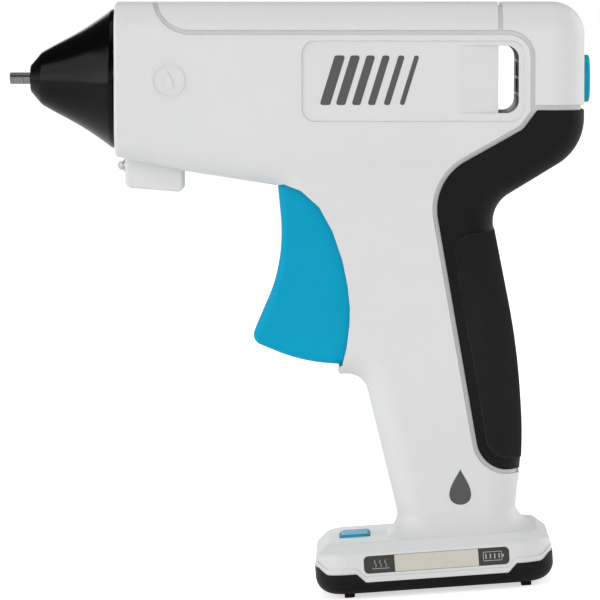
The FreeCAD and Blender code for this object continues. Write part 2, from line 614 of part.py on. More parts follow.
# ======================================================================================
# work light
# ======================================================================================
lens = rod_x(1.7, -61.2, -56.5, 0.0, -30.0).fuse(Part.makeSphere(1.7, Vector(-61.2, 0, -30.0)))
lens = lens.fuse(rod_x(2.3, -57.0, -55.0, 0.0, -30.0))
save("work_light_lens", to_row(one(lens)))
save("work_light_board", to_row(box(-55.0, -53.6, -5.5, 5.5, -35.0, -23.0)))

# ======================================================================================
# foot: button, indicator, charging port, board, cover and pads, in the row frame
# ======================================================================================
BUTTON_TOP = FOOT_TOP + BUTTON_PROUD
button = plate([(BUTTON_X0, -BUTTON_HALF, 1.6), (BUTTON_X1, -BUTTON_HALF, 1.6), (BUTTON_X1, BUTTON_HALF, 1.6),
                (BUTTON_X0, BUTTON_HALF, 1.6)], 14.9, BUTTON_TOP)
rim_edges = [e for e in button.Edges if e.BoundBox.ZMin > BUTTON_TOP - 0.2]
button = button.makeFillet(0.8, rim_edges)
flange = box(BUTTON_X0 - 1.4, BUTTON_X1 + 1.4, -BUTTON_HALF - 1.4, BUTTON_HALF + 1.4, 14.6, 15.6)
save("power_button", one(button.fuse(flange)))
BOARD_TOP = 10.6
board = box(-1.5, 68.0, -22.0, 22.0, BOARD_TOP - 1.6, BOARD_TOP)
board = board.cut(box(39.0, 47.0, 11.0, 25.0, 0.0, 20.0))
for x, y in BASE_SCREWS:
    board = board.cut(rod_z(BOSS_R + 0.3, 0.0, 20.0, x, y))
save("control_board", board)
save("tact_switch", box(4.7, 10.7, -3.0, 3.0, BOARD_TOP, 13.4))
save("charge_controller", Part.makeCompound([box(20.0, 27.0, -3.5, 3.5, BOARD_TOP, 11.6),
                                             box(29.0, 34.0, 9.0, 15.0, BOARD_TOP, 13.0),
                                             box(52.0, 58.0, 8.0, 14.0, BOARD_TOP, 12.8)]))
port = box(PORT_X0, PORT_X0 + 8.0, -4.5, 4.5, 11.8, 15.2)
port = port.cut(box(PORT_X0 + 1.4, PORT_X0 + 10.0, -4.1, 4.1, 12.2, 14.8))
port = port.fuse([box(PORT_X0 + 1.4, PORT_X0 + 6.8, -3.2, 3.2, 13.2, 13.8),
                  box(PORT_X0, PORT_X0 + 3.0, -4.5, 4.5, BOARD_TOP, 11.8)])
save("usb_port", one(port))


def strip_piece(x0, x1, left_r, right_r):
    """Flush window of the indicator strip, with a back flange inside the wall."""
    gap = 0.12
    low, high = STRIP_Z0 + gap, STRIP_Z1 - gap
    face = slab([(x0, low, left_r), (x1, low, right_r), (x1, high, right_r), (x0, high, left_r)],
                -FOOT_HALF + 0.05, -FOOT_HALF + WALL + 1.2)
    return face


save("status_lens_heat", strip_piece(STRIP_X0 + 0.12, STRIP_X0 + ICON_LENGTH, 1.5, 0.6))
save("task_light_lens", strip_piece(STRIP_X0 + ICON_LENGTH + 0.1, STRIP_X1 - ICON_LENGTH - 0.1, 0.3, 0.3))
save("status_lens_charge", strip_piece(STRIP_X1 - ICON_LENGTH, STRIP_X1 - 0.12, 0.6, 1.5))
light_bar = box(11.4, 58.6, -23.9, -22.8, BOARD_TOP - 1.6, 14.2)
save("light_board", light_bar)

BASE_GROW = 0.6
PAD_XS = [4.6, 65.2]
PAD_Y = 17.0
PAD_WIDE, PAD_LONG = 1.75, 5.0
base = plate(foot_corners(-BASE_GROW), BASE_Z, SKIRT_END_Z + EAR_RISE)
low_rim = [e for e in base.Edges if e.BoundBox.ZMax < BASE_Z + 0.1]
base = base.makeFillet(6.2, low_rim)
base = base.common(skirt_line(0.05)).cut(plate(foot_corners(2.6), BASE_Z + 2.2, 12.0))
for x, y in BASE_SCREWS:
    base = base.fuse(rod_z(BOSS_R + 0.6, BASE_Z + 1.0, 8.95, x, y))
    base = base.cut(rod_z(SCREW_R + 0.2, 0.0, 10.0, x, y)).cut(rod_z(HEAD_R + 0.2, 0.0, 4.4, x, y))
pads = []
for x in PAD_XS:
    for y in (-PAD_Y, PAD_Y):
        outline = [(x - PAD_WIDE, y - PAD_LONG, 1.2), (x + PAD_WIDE, y - PAD_LONG, 1.2),
                   (x + PAD_WIDE, y + PAD_LONG, 1.2), (x - PAD_WIDE, y + PAD_LONG, 1.2)]
        pads.append(plate(outline, 0.0, BASE_Z + 0.8))
        base = base.cut(plate(outline, 0.0, BASE_Z + 0.8))
save("base_cover", one(base))
save("foot_pads", Part.makeCompound(pads))

# ======================================================================================
# cells and wiring
# ======================================================================================
cell_solids = []
for x, y in cells:
    cell = rod_z(CELL_R, CELL_LOW, CELL_LOW + CELL_LENGTH - 1.0, x, y)
    cell = cell.fuse(rod_z(3.2, CELL_LOW + CELL_LENGTH - 1.0, CELL_LOW + CELL_LENGTH, x, y))
    cell_solids.append(cell.removeSplitter())
save("front_cell", cell_solids[1])
save("rear_cell", cell_solids[0])
mid_x = CELL_REAR_X - CELL_PITCH / 2.0
tab_top = box(mid_x - 12.0, mid_x + 12.0, -3.5, 3.5, CELL_LOW + CELL_LENGTH, CELL_LOW + CELL_LENGTH + 0.3)
tab_low = box(mid_x - 12.0, mid_x + 12.0, -3.5, 3.5, CELL_LOW - 0.3, CELL_LOW)
save("cell_tabs", Part.makeCompound([tab_top, tab_low]))
holder = box(mid_x - 15.4, mid_x + 17.0, -8.0, 8.0, CELL_LOW - 2.3, CELL_LOW - 0.35)
holder = holder.fuse([box(mid_x - 8.0, mid_x - 5.0, -6.0, 6.0, BOARD_TOP, CELL_LOW - 2.0),
                      box(mid_x + 5.0, mid_x + 8.0, -6.0, 6.0, BOARD_TOP, CELL_LOW - 2.0)])
save("cell_holder", one(holder))


def wire(points, radius):
    """Insulated lead through a list of points, rounded at each bend by a ball."""
    pieces = []
    for start, end in zip(points[:-1], points[1:]):
        pieces.append(rod(radius, start, end - start, (end - start).Length))
    balls = [Part.makeSphere(radius, point) for point in points[1:-1]]
    return pieces[0].fuse(pieces[1:] + balls)


def from_barrel(x, y, z):
    """Barrel-frame point in the row frame."""
    return row_matrix().multVec(Vector(x, y, z))


leads = []
for side in (-1, 1):
    route = [from_barrel(-43.5 + side * 3.0, 4.2, -14.8), from_barrel(-40.0 + side * 2.0, 11.0, -21.0),
             from_barrel(-20.0, 19.0, -17.5 - side * 1.0), from_barrel(43.0, 19.6, -15.0 - side * 1.0),
             from_barrel(46.5 + side * 1.2, 13.5, -38.0), Vector(mid_x + side * 0.95, 11.6, 92.0),
             Vector(mid_x + side * 0.95, 11.6, 22.0), Vector(mid_x + side * 0.95, 14.5, 13.0)]
    leads.append(wire(route, 0.75))
save("heater_leads", Part.makeCompound(leads))


def screw(shank_r, head_r, length, head_height):
    """Pan-head screw along Z, head up, tip at z = 0."""
    body_part = rod_z(shank_r, 0.6, length, 0, 0)
    tip = Part.makeCone(0.4, shank_r, 0.6)
    head = rod_z(head_r, length, length + head_height)
    rim = [e for e in head.Edges if e.BoundBox.ZMin > length + head_height - 0.1]
    head = head.makeFillet(head_height * 0.45, rim)
    bar_long, bar_short = head_r * 0.62, 0.32
    low, top = length + head_height - 0.9, length + head_height + 1.0
    cross = box(-bar_long, bar_long, -bar_short, bar_short, low, top)
    cross = cross.fuse(box(-bar_short, bar_short, -bar_long, bar_long, low, top))
    return body_part.fuse([tip, head]).removeSplitter().cut(cross)


side_screws = []
for x, z in HOUSING_SCREWS:
    reach = 19.0 if z < -50 else 25.5
    head_seat = reach - 2.6
    piece = screw(SCREW_R, HEAD_R, head_seat + 11.0, 1.8)
    piece.rotate(Vector(0, 0, 0), Vector(1, 0, 0), -90)
    piece.translate(Vector(x, -11.0, z))
    side_screws.append(to_row(piece))
save("housing_screws", Part.makeCompound(side_screws))
under_screws = []
for x, y in BASE_SCREWS:
    piece = screw(SCREW_R, HEAD_R, 11.0, 1.8)
    piece.rotate(Vector(0, 0, 0), Vector(1, 0, 0), 180)
    piece.translate(Vector(x, y, 15.4))
    under_screws.append(piece)
save("base_screws", Part.makeCompound(under_screws))
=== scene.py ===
"""Looks of the cordless glue gun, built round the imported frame.

Every piece is modelled in metres in the row frame. Pieces that follow the barrel are drawn
in the barrel frame, whose X axis runs from the nozzle to the stick inlet, and are turned
into the row frame by BarrelFrame.
"""
import json
import logging
import math
from dataclasses import dataclass, field
from enum import Enum
from typing import Optional, Sequence

import bmesh
import bpy
from mathutils import Matrix, Vector
from mathutils.bvhtree import BVHTree


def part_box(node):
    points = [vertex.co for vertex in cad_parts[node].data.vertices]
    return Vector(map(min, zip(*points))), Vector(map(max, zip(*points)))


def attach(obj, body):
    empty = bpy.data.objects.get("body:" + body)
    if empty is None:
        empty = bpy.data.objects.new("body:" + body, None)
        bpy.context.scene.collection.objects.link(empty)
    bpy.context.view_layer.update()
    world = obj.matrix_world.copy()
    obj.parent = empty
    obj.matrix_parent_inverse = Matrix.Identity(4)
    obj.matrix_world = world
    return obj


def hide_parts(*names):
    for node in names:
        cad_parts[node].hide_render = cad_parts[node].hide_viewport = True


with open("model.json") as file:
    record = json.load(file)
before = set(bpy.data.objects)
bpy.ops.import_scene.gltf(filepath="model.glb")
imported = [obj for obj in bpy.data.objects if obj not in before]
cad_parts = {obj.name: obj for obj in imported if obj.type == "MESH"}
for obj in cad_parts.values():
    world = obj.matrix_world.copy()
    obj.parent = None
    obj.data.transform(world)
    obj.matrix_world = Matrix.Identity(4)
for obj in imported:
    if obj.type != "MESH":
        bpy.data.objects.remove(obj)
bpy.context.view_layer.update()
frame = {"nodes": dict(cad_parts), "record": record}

MM = 0.001
log = logging.getLogger("glue_gun")

Colour = tuple[float, float, float]
Point = tuple[float, float]


# ---- frame ---------------------------------------------------------------------------------

@dataclass(frozen=True)
class BarrelFrame:
    """Place and tilt of the barrel in the row frame.

    Attributes:
        origin: Row-frame point under which the barrel frame has x = 0, in metres.
        pitch: Nose-up angle of the barrel in radians.
    """

    origin: Vector
    pitch: float

    @classmethod
    def from_record(cls, record: dict) -> "BarrelFrame":
        """Read the barrel's line from the two mounts that lie on it.

        Args:
            record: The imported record.

        Returns:
            The barrel frame, with the tip mount at TIP_MOUNT_X.
        """
        mounts = {mount["name"]: mount for mount in record["mounts"]}
        tip = Vector(mounts["nozzle_tip"]["pos_m"])
        axis = Vector(mounts["glue_stick_inlet"]["axis"]).normalized()
        return cls(tip - axis * cls.tip_mount_x(), math.asin(-axis.z))

    @staticmethod
    def tip_mount_x() -> float:
        """Barrel x of the tip mount, in metres."""
        return -96.4 * MM

    @property
    def matrix(self) -> Matrix:
        """Transform from barrel metres to row metres."""
        return Matrix.Translation(self.origin) @ Matrix.Rotation(self.pitch, 4, "Y")

    def point(self, x: float, y: float, z: float) -> Vector:
        """Row-frame point of barrel-frame millimetres."""
        return self.matrix @ (Vector((x, y, z)) * MM)


BARREL = BarrelFrame.from_record(frame["record"])


# ---- shader helpers ----------------------------------------------------------------------------

class Tree:
    """Thin wrapper that adds and links nodes in one node tree."""

    def __init__(self, tree: bpy.types.NodeTree) -> None:
        """Hold the tree that the nodes go into."""
        self.tree = tree

    def add(self, kind: str, **values: object) -> bpy.types.Node:
        """Add a node and set attributes or input values by name.

        Args:
            kind: Node type, such as ShaderNodeTexNoise.
            **values: Attributes of the node, or inputs with spaces written as underscores.

        Returns:
            The new node.
        """
        node = self.tree.nodes.new(kind)
        for name, value in values.items():
            if hasattr(node, name):
                setattr(node, name, value)
            else:
                node.inputs[name.replace("_", " ")].default_value = value
        return node

    def link(self, source: bpy.types.NodeSocket, target: bpy.types.NodeSocket) -> None:
        """Join an output to an input."""
        self.tree.links.new(source, target)

    def math(self, operation: str, a: object, b: object = None) -> bpy.types.NodeSocket:
        """Math node on sockets or numbers.

        Args:
            operation: Blender's name of the operation.
            a: First socket or number.
            b: Second socket or number, if the operation has one.

        Returns:
            The result socket.
        """
        node = self.tree.nodes.new("ShaderNodeMath")
        node.operation = operation
        for index, value in enumerate((a, b)):
            if value is None:
                continue
            if isinstance(value, (int, float)):
                node.inputs[index].default_value = value
            else:
                self.link(value, node.inputs[index])
        return node.outputs[0]

    def ramp(self, source: bpy.types.NodeSocket, low: float, high: float,
             out_low: float = 0.0, out_high: float = 1.0) -> bpy.types.NodeSocket:
        """Clamped map of a value from low..high to out_low..out_high."""
        node = self.add("ShaderNodeMapRange")
        node.clamp = True
        self.link(source, node.inputs["Value"])
        node.inputs["From Min"].default_value = low
        node.inputs["From Max"].default_value = high
        node.inputs["To Min"].default_value = out_low
        node.inputs["To Max"].default_value = out_high
        return node.outputs["Result"]

    def mix(self, factor: bpy.types.NodeSocket, a: object, b: object) -> bpy.types.NodeSocket:
        """Colour mix of two sockets or colours."""
        node = self.add("ShaderNodeMix", data_type="RGBA")
        self.link(factor, node.inputs["Factor"])
        for name, value in (("A", a), ("B", b)):
            socket = [s for s in node.inputs if s.name == name and s.type == "RGBA"][0]
            if isinstance(value, tuple):
                socket.default_value = (*value[:3], 1.0)
            else:
                self.link(value, socket)
        return [s for s in node.outputs if s.type == "RGBA"][0]


class Groups:
    """Shader node groups that several finishes share, each built once."""

    _made: dict[str, bpy.types.NodeTree] = {}

    @classmethod
    def _start(cls, name: str, inputs: Sequence[tuple[str, str, float]],
               outputs: Sequence[tuple[str, str]]) -> tuple[Tree, bpy.types.Node, bpy.types.Node]:
        """Make an empty group with named sockets.

        Args:
            name: Name of the group.
            inputs: Name, socket type and default of each input.
            outputs: Name and socket type of each output.

        Returns:
            The tree, its input node and its output node.
        """
        group = bpy.data.node_groups.new(name, "ShaderNodeTree")
        for label, kind, default in inputs:
            socket = group.interface.new_socket(name=label, in_out="INPUT", socket_type=kind)
            if kind == "NodeSocketFloat":
                socket.default_value = default
        for label, kind in outputs:
            group.interface.new_socket(name=label, in_out="OUTPUT", socket_type=kind)
        cls._made[name] = group
        tree = Tree(group)
        return tree, tree.add("NodeGroupInput"), tree.add("NodeGroupOutput")

    @classmethod
    def moulded_grain(cls) -> bpy.types.NodeTree:
        """Fine spark-eroded grain of moulded plastic, with the slow waviness of the skin."""
        if "moulded_grain" in cls._made:
            return cls._made["moulded_grain"]
        tree, given, out = cls._start(
            "moulded_grain",
            [("Vector", "NodeSocketVector", 0.0), ("Grain Scale", "NodeSocketFloat", 2600.0),
             ("Wave Scale", "NodeSocketFloat", 40.0), ("Wave Share", "NodeSocketFloat", 0.4)],
            [("Height", "NodeSocketFloat"), ("Gloss", "NodeSocketFloat")])
        grain = tree.add("ShaderNodeTexNoise", Detail=2.0, Roughness=0.55)
        wave = tree.add("ShaderNodeTexNoise", Detail=2.0, Roughness=0.5)
        for node, label in ((grain, "Grain Scale"), (wave, "Wave Scale")):
            tree.link(given.outputs["Vector"], node.inputs["Vector"])
            tree.link(given.outputs[label], node.inputs["Scale"])
        share = tree.math("MULTIPLY", wave.outputs["Fac"], given.outputs["Wave Share"])
        tree.link(tree.math("ADD", grain.outputs["Fac"], share), out.inputs["Height"])
        tree.link(tree.ramp(wave.outputs["Fac"], 0.3, 0.7), out.inputs["Gloss"])
        return cls._made["moulded_grain"]

    @classmethod
    def soft_mottle(cls) -> bpy.types.NodeTree:
        """Slow drift between two near colours, with a trace of fine speckle."""
        if "soft_mottle" in cls._made:
            return cls._made["soft_mottle"]
        tree, given, out = cls._start(
            "soft_mottle",
            [("Vector", "NodeSocketVector", 0.0), ("Scale", "NodeSocketFloat", 18.0),
             ("Speckle", "NodeSocketFloat", 0.15), ("Light", "NodeSocketColor", 0.0),
             ("Dark", "NodeSocketColor", 0.0)],
            [("Color", "NodeSocketColor"), ("Mask", "NodeSocketFloat")])
        slow = tree.add("ShaderNodeTexNoise", Detail=3.0, Roughness=0.6)
        fine = tree.add("ShaderNodeTexNoise", Scale=1900.0, Detail=1.0)
        tree.link(given.outputs["Vector"], slow.inputs["Vector"])
        tree.link(given.outputs["Scale"], slow.inputs["Scale"])
        tree.link(given.outputs["Vector"], fine.inputs["Vector"])
        centred = tree.math("SUBTRACT", fine.outputs["Fac"], 0.5)
        speck = tree.math("MULTIPLY", centred, given.outputs["Speckle"])
        mask = tree.ramp(tree.math("ADD", slow.outputs["Fac"], speck), 0.32, 0.68)
        tree.link(mask, out.inputs["Mask"])
        tree.link(tree.mix(mask, given.outputs["Light"], given.outputs["Dark"]), out.inputs["Color"])
        return cls._made["soft_mottle"]

    @classmethod
    def tool_marks(cls) -> bpy.types.NodeTree:
        """Fine stretched streaks left by turning, drawing or grinding."""
        if "tool_marks" in cls._made:
            return cls._made["tool_marks"]
        tree, given, out = cls._start(
            "tool_marks",
            [("Vector", "NodeSocketVector", 0.0), ("Along", "NodeSocketFloat", 6000.0),
             ("Across", "NodeSocketFloat", 60.0)],
            [("Height", "NodeSocketFloat"), ("Mask", "NodeSocketFloat")])
        parts = tree.add("ShaderNodeSeparateXYZ")
        joined = tree.add("ShaderNodeCombineXYZ")
        tree.link(given.outputs["Vector"], parts.inputs[0])
        tree.link(tree.math("MULTIPLY", parts.outputs["X"], given.outputs["Along"]), joined.inputs["X"])
        for axis in ("Y", "Z"):
            stretched = tree.math("MULTIPLY", parts.outputs[axis], given.outputs["Across"])
            tree.link(stretched, joined.inputs[axis])
        streak = tree.add("ShaderNodeTexNoise", Scale=1.0, Detail=3.0, Roughness=0.65)
        tree.link(joined.outputs[0], streak.inputs["Vector"])
        tree.link(streak.outputs["Fac"], out.inputs["Height"])
        tree.link(tree.ramp(streak.outputs["Fac"], 0.35, 0.65), out.inputs["Mask"])
        return cls._made["tool_marks"]


def new_material(name: str) -> tuple[bpy.types.Material, Tree, bpy.types.Node]:
    """Empty material with its Principled shader linked.

    Args:
        name: Name of the material.

    Returns:
        The material, its tree and its Principled node.
    """
    material = bpy.data.materials.new(name)
    material.use_nodes = True
    material.node_tree.nodes.clear()
    tree = Tree(material.node_tree)
    shader = tree.add("ShaderNodeBsdfPrincipled")
    output = tree.add("ShaderNodeOutputMaterial")
    tree.link(shader.outputs[0], output.inputs["Surface"])
    return material, tree, shader


def place_group(tree: Tree, group: bpy.types.NodeTree, **values: object) -> bpy.types.Node:
    """Put a shared group in a material, fed with Object coordinates.

    Args:
        tree: Tree of the material.
        group: The shared group.
        **values: Input values, with spaces written as underscores.

    Returns:
        The group node.
    """
    node = tree.add("ShaderNodeGroup", node_tree=group)
    coords = tree.add("ShaderNodeTexCoord")
    tree.link(coords.outputs["Object"], node.inputs["Vector"])
    for name, value in values.items():
        if isinstance(value, tuple):
            value = (*value, 1.0)
        node.inputs[name.replace("_", " ")].default_value = value
    return node


def add_bump(tree: Tree, shader: bpy.types.Node, height: bpy.types.NodeSocket,
             strength: float, depth: float, edge: float = 0.0) -> None:
    """Drive the shader's normal by a height.

    Args:
        tree: Tree of the material.
        shader: Principled node.
        height: Height socket.
        strength: Strength of the bump.
        depth: Depth of the bump in metres.
        edge: Radius in metres of the rounded shading at hard edges.
    """
    bump = tree.add("ShaderNodeBump", Strength=strength, Distance=depth)
    if edge > 0:
        soft = tree.add("ShaderNodeBevel", samples=6)
        soft.inputs["Radius"].default_value = edge
        tree.link(soft.outputs["Normal"], bump.inputs["Normal"])
    tree.link(height, bump.inputs["Height"])
    tree.link(bump.outputs["Normal"], shader.inputs["Normal"])


# ---- finishes ----------------------------------------------------------------------------------

@dataclass(frozen=True)
class MouldedPlastic:
    """Injection-moulded plastic with fine grain and a slow change of gloss.

    Attributes:
        name: Name of the finish.
        light: Lighter of its two near colours.
        dark: Darker of its two near colours.
        smooth: Roughness where the skin is glossiest.
        rough: Roughness where it is dullest.
        grain: Grain scale per metre.
        depth: Height of the grain in metres.
        coat: Weight of the clear top layer.
        glow: Subsurface share that lets light soften the edges.
        shine: Specular level.
        edge: Radius in metres that rounds the shading of hard edges.
    """

    name: str
    light: Colour
    dark: Colour
    smooth: float = 0.38
    rough: float = 0.48
    grain: float = 2600.0
    depth: float = 0.00003
    coat: float = 0.0
    glow: float = 0.0
    shine: float = 0.5
    edge: float = 0.0

    def build(self) -> bpy.types.Material:
        """Make the material."""
        material, tree, shader = new_material(self.name)
        shader.inputs["Specular IOR Level"].default_value = self.shine
        tint = place_group(tree, Groups.soft_mottle(), Light=self.light, Dark=self.dark)
        grain = place_group(tree, Groups.moulded_grain(), Grain_Scale=self.grain)
        tree.link(tint.outputs["Color"], shader.inputs["Base Color"])
        gloss = tree.ramp(grain.outputs["Gloss"], 0.0, 1.0, self.smooth, self.rough)
        tree.link(gloss, shader.inputs["Roughness"])
        shader.inputs["Coat Weight"].default_value = self.coat
        shader.inputs["Coat Roughness"].default_value = 0.12
        shader.inputs["IOR"].default_value = 1.49
        if self.glow > 0:
            shader.inputs["Subsurface Weight"].default_value = self.glow
            shader.inputs["Subsurface Scale"].default_value = 0.0012
        add_bump(tree, shader, grain.outputs["Height"], 0.35, self.depth, self.edge)
        return material


@dataclass(frozen=True)
class WorkedMetal:
    """Turned, drawn or ground metal with streaks.

    Attributes:
        name: Name of the finish.
        light: Colour on the worked ridges.
        dark: Colour in the worked lines.
        rough: Mean roughness.
        along: Streak frequency along X per metre.
        across: Streak frequency across X per metre.
        metallic: Metallic share.
    """

    name: str
    light: Colour
    dark: Colour
    rough: float = 0.3
    along: float = 5200.0
    across: float = 240.0
    metallic: float = 1.0

    def build(self) -> bpy.types.Material:
        """Make the material."""
        material, tree, shader = new_material(self.name)
        marks = place_group(tree, Groups.tool_marks(), Along=self.along, Across=self.across)
        tree.link(tree.mix(marks.outputs["Mask"], self.dark, self.light), shader.inputs["Base Color"])
        shader.inputs["Metallic"].default_value = self.metallic
        wear = tree.ramp(marks.outputs["Mask"], 0.0, 1.0, self.rough * 1.25, self.rough * 0.8)
        tree.link(wear, shader.inputs["Roughness"])
        add_bump(tree, shader, marks.outputs["Height"], 0.25, 0.00002)
        return material


@dataclass(frozen=True)
class LitSweep:
    """Pale studio floor that is lit from below, so that it stays even and near white.

    Attributes:
        name: Name of the finish.
        light: Colour of the sheet.
        glow: Strength of the light through it.
        bounce: Share of that light that reaches the tool.
    """

    name: str
    light: Colour
    glow: float
    bounce: float = 0.1

    def build(self) -> bpy.types.Material:
        """Make the material."""
        material, tree, shader = new_material(self.name)
        dark = tuple(channel * 0.985 for channel in self.light)
        tint = place_group(tree, Groups.soft_mottle(), Light=self.light, Dark=dark, Scale=3.0)
        tree.link(tint.outputs["Color"], shader.inputs["Base Color"])
        seen = tree.add("ShaderNodeLightPath").outputs["Is Camera Ray"]
        tree.link(tree.ramp(seen, 0.0, 1.0, self.bounce, 1.0), shader.inputs["Emission Color"])
        shader.inputs["Emission Strength"].default_value = self.glow
        shader.inputs["Roughness"].default_value = 0.8
        return material


@dataclass(frozen=True)
class ClearMoulding:
    """Clear or tinted light-passing moulding with faint flow marks.

    Attributes:
        name: Name of the finish.
        tint: Colour of the moulding.
        passing: Transmission weight.
        rough: Mean roughness.
    """

    name: str
    tint: Colour
    passing: float
    rough: float = 0.08

    def build(self) -> bpy.types.Material:
        """Make the material."""
        material, tree, shader = new_material(self.name)
        dark = tuple(channel * 0.86 for channel in self.tint)
        tint = place_group(tree, Groups.soft_mottle(), Light=self.tint, Dark=dark, Scale=120.0)
        tree.link(tint.outputs["Color"], shader.inputs["Base Color"])
        haze = tree.ramp(tint.outputs["Mask"], 0.0, 1.0, self.rough * 0.7, self.rough * 1.3)
        tree.link(haze, shader.inputs["Roughness"])
        shader.inputs["Transmission Weight"].default_value = self.passing
        shader.inputs["IOR"].default_value = 1.49
        return material


FINISHES = {
    "white_shell": MouldedPlastic("white_satin", (0.765, 0.765, 0.752), (0.745, 0.747, 0.736), 0.40, 0.47,
                                  glow=0.08, edge=0.0004),
    "grip_rubber": MouldedPlastic("grip_rubber", (0.0085, 0.008, 0.0072), (0.0055, 0.0052, 0.0047),
                                  0.46, 0.58, grain=1800.0, depth=0.00005, shine=0.16),
    # The net itself is real; its colour, lighter than the plain rubber, is painted sheen standing for the
    # light its textured tops catch.
    "grip_net_sheen": MouldedPlastic("rubber_net_painted_sheen", (0.018, 0.017, 0.0155), (0.0115, 0.011, 0.010),
                               0.38, 0.48, shine=0.3),
    "nose_black": MouldedPlastic("nose_gloss", (0.0022, 0.0022, 0.0023), (0.0014, 0.0014, 0.0016), 0.16, 0.24,
                                 depth=0.000006, shine=0.18),
    "black_plastic": MouldedPlastic("black_satin", (0.0085, 0.0085, 0.0085), (0.006, 0.006, 0.006),
                                    0.40, 0.52, depth=0.00005, shine=0.18),
    "heat_plastic": MouldedPlastic("heat_plastic", (0.11, 0.11, 0.105), (0.07, 0.07, 0.07), 0.5, 0.6),
    "blue_trigger": MouldedPlastic("trigger_blue", (0.0, 0.37, 0.585), (0.0, 0.35, 0.56),
                                   0.36, 0.44, shine=0.1, edge=0.0005),
    "blue_collar": MouldedPlastic("collar_blue", (0.0, 0.36, 0.47), (0.0, 0.34, 0.44),
                                  0.25, 0.33, shine=0.12),
    "blue_button": MouldedPlastic("button_blue", (0.012, 0.33, 0.52), (0.01, 0.31, 0.49),
                                  0.34, 0.42, shine=0.12),
    "silicone": MouldedPlastic("silicone_red", (0.48, 0.08, 0.05), (0.40, 0.06, 0.04), 0.5, 0.6),
    "lead_silicone": MouldedPlastic("lead_red", (0.45, 0.03, 0.02), (0.36, 0.02, 0.015), 0.4, 0.5),
    "heater_ceramic": MouldedPlastic("fired_ceramic", (0.62, 0.56, 0.46), (0.52, 0.46, 0.37), 0.6, 0.7),
    "cell_wrap": MouldedPlastic("cell_wrap", (0.05, 0.12, 0.35), (0.04, 0.10, 0.30), 0.22, 0.30),
    "circuit_board": MouldedPlastic("solder_mask", (0.02, 0.17, 0.065), (0.015, 0.12, 0.045), 0.25, 0.4),
    "smoked_lens": MouldedPlastic("smoked_lens", (0.026, 0.026, 0.019), (0.016, 0.016, 0.012), 0.16, 0.24,
                                  depth=0.000008, coat=0.4),
    "cream_lens": MouldedPlastic("cream_lens", (0.69, 0.66, 0.575), (0.655, 0.62, 0.535), 0.22, 0.32,
                                 depth=0.00001, coat=0.3, glow=0.3),
    "tip_steel": WorkedMetal("tip_steel", (0.38, 0.37, 0.355), (0.19, 0.185, 0.18), 0.32),
    "nozzle_brass": WorkedMetal("nozzle_brass", (0.72, 0.52, 0.20), (0.5, 0.34, 0.12), 0.3),
    "bright_steel": WorkedMetal("bright_steel", (0.62, 0.62, 0.63), (0.42, 0.42, 0.43), 0.25),
    "spring_steel": WorkedMetal("spring_steel", (0.40, 0.40, 0.41), (0.25, 0.25, 0.26), 0.32),
    "chamber_aluminium": WorkedMetal("cast_aluminium", (0.64, 0.64, 0.65), (0.45, 0.45, 0.46), 0.42),
    "screw_steel": WorkedMetal("black_zinc", (0.10, 0.10, 0.105), (0.05, 0.05, 0.052), 0.35),
    "clear_lens": ClearMoulding("clear_lens", (0.93, 0.95, 0.96), 0.9, 0.05),
    "printed_grey": MouldedPlastic("printed_grey", (0.095, 0.095, 0.097), (0.08, 0.08, 0.082), 0.5, 0.6),
    "crisp_white": MouldedPlastic("white_crisp", (0.765, 0.765, 0.752), (0.745, 0.747, 0.736), 0.40, 0.47),
    # Pale grey of the window ribs: a painted highlight, standing for glints on the black liner wall.
    "rib_painted_glint": MouldedPlastic("rib_painted_glint", (0.30, 0.30, 0.30), (0.24, 0.24, 0.24), 0.3, 0.4),
    "printed_cream": MouldedPlastic("printed_cream", (0.50, 0.49, 0.43), (0.44, 0.43, 0.38), 0.45, 0.55),
    "stage_floor": LitSweep("pale_floor", (0.93, 0.93, 0.93), 0.62),
}
_built: dict[str, bpy.types.Material] = {}


def finish(slot: str) -> bpy.types.Material:
    """The material of a slot, built on first use."""
    if slot not in _built:
        _built[slot] = FINISHES[slot].build()
    return _built[slot]


def dress_frame() -> None:
    """Give every CAD node the finish of its own slot."""
    for part in frame["record"]["subparts"]:
        mesh = frame["nodes"][part["node"]].data
        material = finish(part["material_slot"])
        if not mesh.materials:
            mesh.materials.append(material)
        for index in range(len(mesh.materials)):
            mesh.materials[index] = material


# ---- mesh helpers --------------------------------------------------------------------------------

def rounded_outline(corners: Sequence[tuple[float, float, float]], steps: int = 6) -> list[Point]:
    """Closed outline with each corner rounded.

    Args:
        corners: Points as (u, v, radius).
        steps: Points along each rounded corner.

    Returns:
        Outline points in order.
    """
    outline: list[Point] = []
    for index, (u, v, radius) in enumerate(corners):
        corner = Vector((u, v))
        back = (Vector(corners[index - 1][:2]) - corner).normalized()
        ahead = (Vector(corners[(index + 1) % len(corners)][:2]) - corner).normalized()
        if radius <= 0:
            outline.append((u, v))
            continue
        half = back.angle(ahead) / 2
        centre = corner + (back + ahead).normalized() * (radius / math.sin(half))
        start = corner + back * (radius / math.tan(half)) - centre
        end = corner + ahead * (radius / math.tan(half)) - centre
        for step in range(steps + 1):
            arm = start.slerp(end, step / steps) if start.angle(end) > 1e-4 else start
            outline.append(tuple(centre + arm.normalized() * radius))
    return outline


def box_outline(low: Point, high: Point, radius: float, steps: int) -> list[Point]:
    """Outline of an upright rectangle with rounded corners."""
    return rounded_outline([(low[0], low[1], radius), (high[0], low[1], radius),
                            (high[0], high[1], radius), (low[0], high[1], radius)], steps)


def ribbon_outline(path: Sequence[Point], width: float) -> list[Point]:
    """Outline of a stroke of even width along a path."""
    left, right = [], []
    for index, point in enumerate(path):
        before = Vector(path[max(index - 1, 0)])
        after = Vector(path[min(index + 1, len(path) - 1)])
        along = (after - before).normalized()
        across = Vector((-along.y, along.x)) * (width / 2)
        left.append(tuple(Vector(point) + across))
        right.append(tuple(Vector(point) - across))
    return left + right[::-1]


DROP_TAPER = 1.5
DROP_BULGE = 1.3


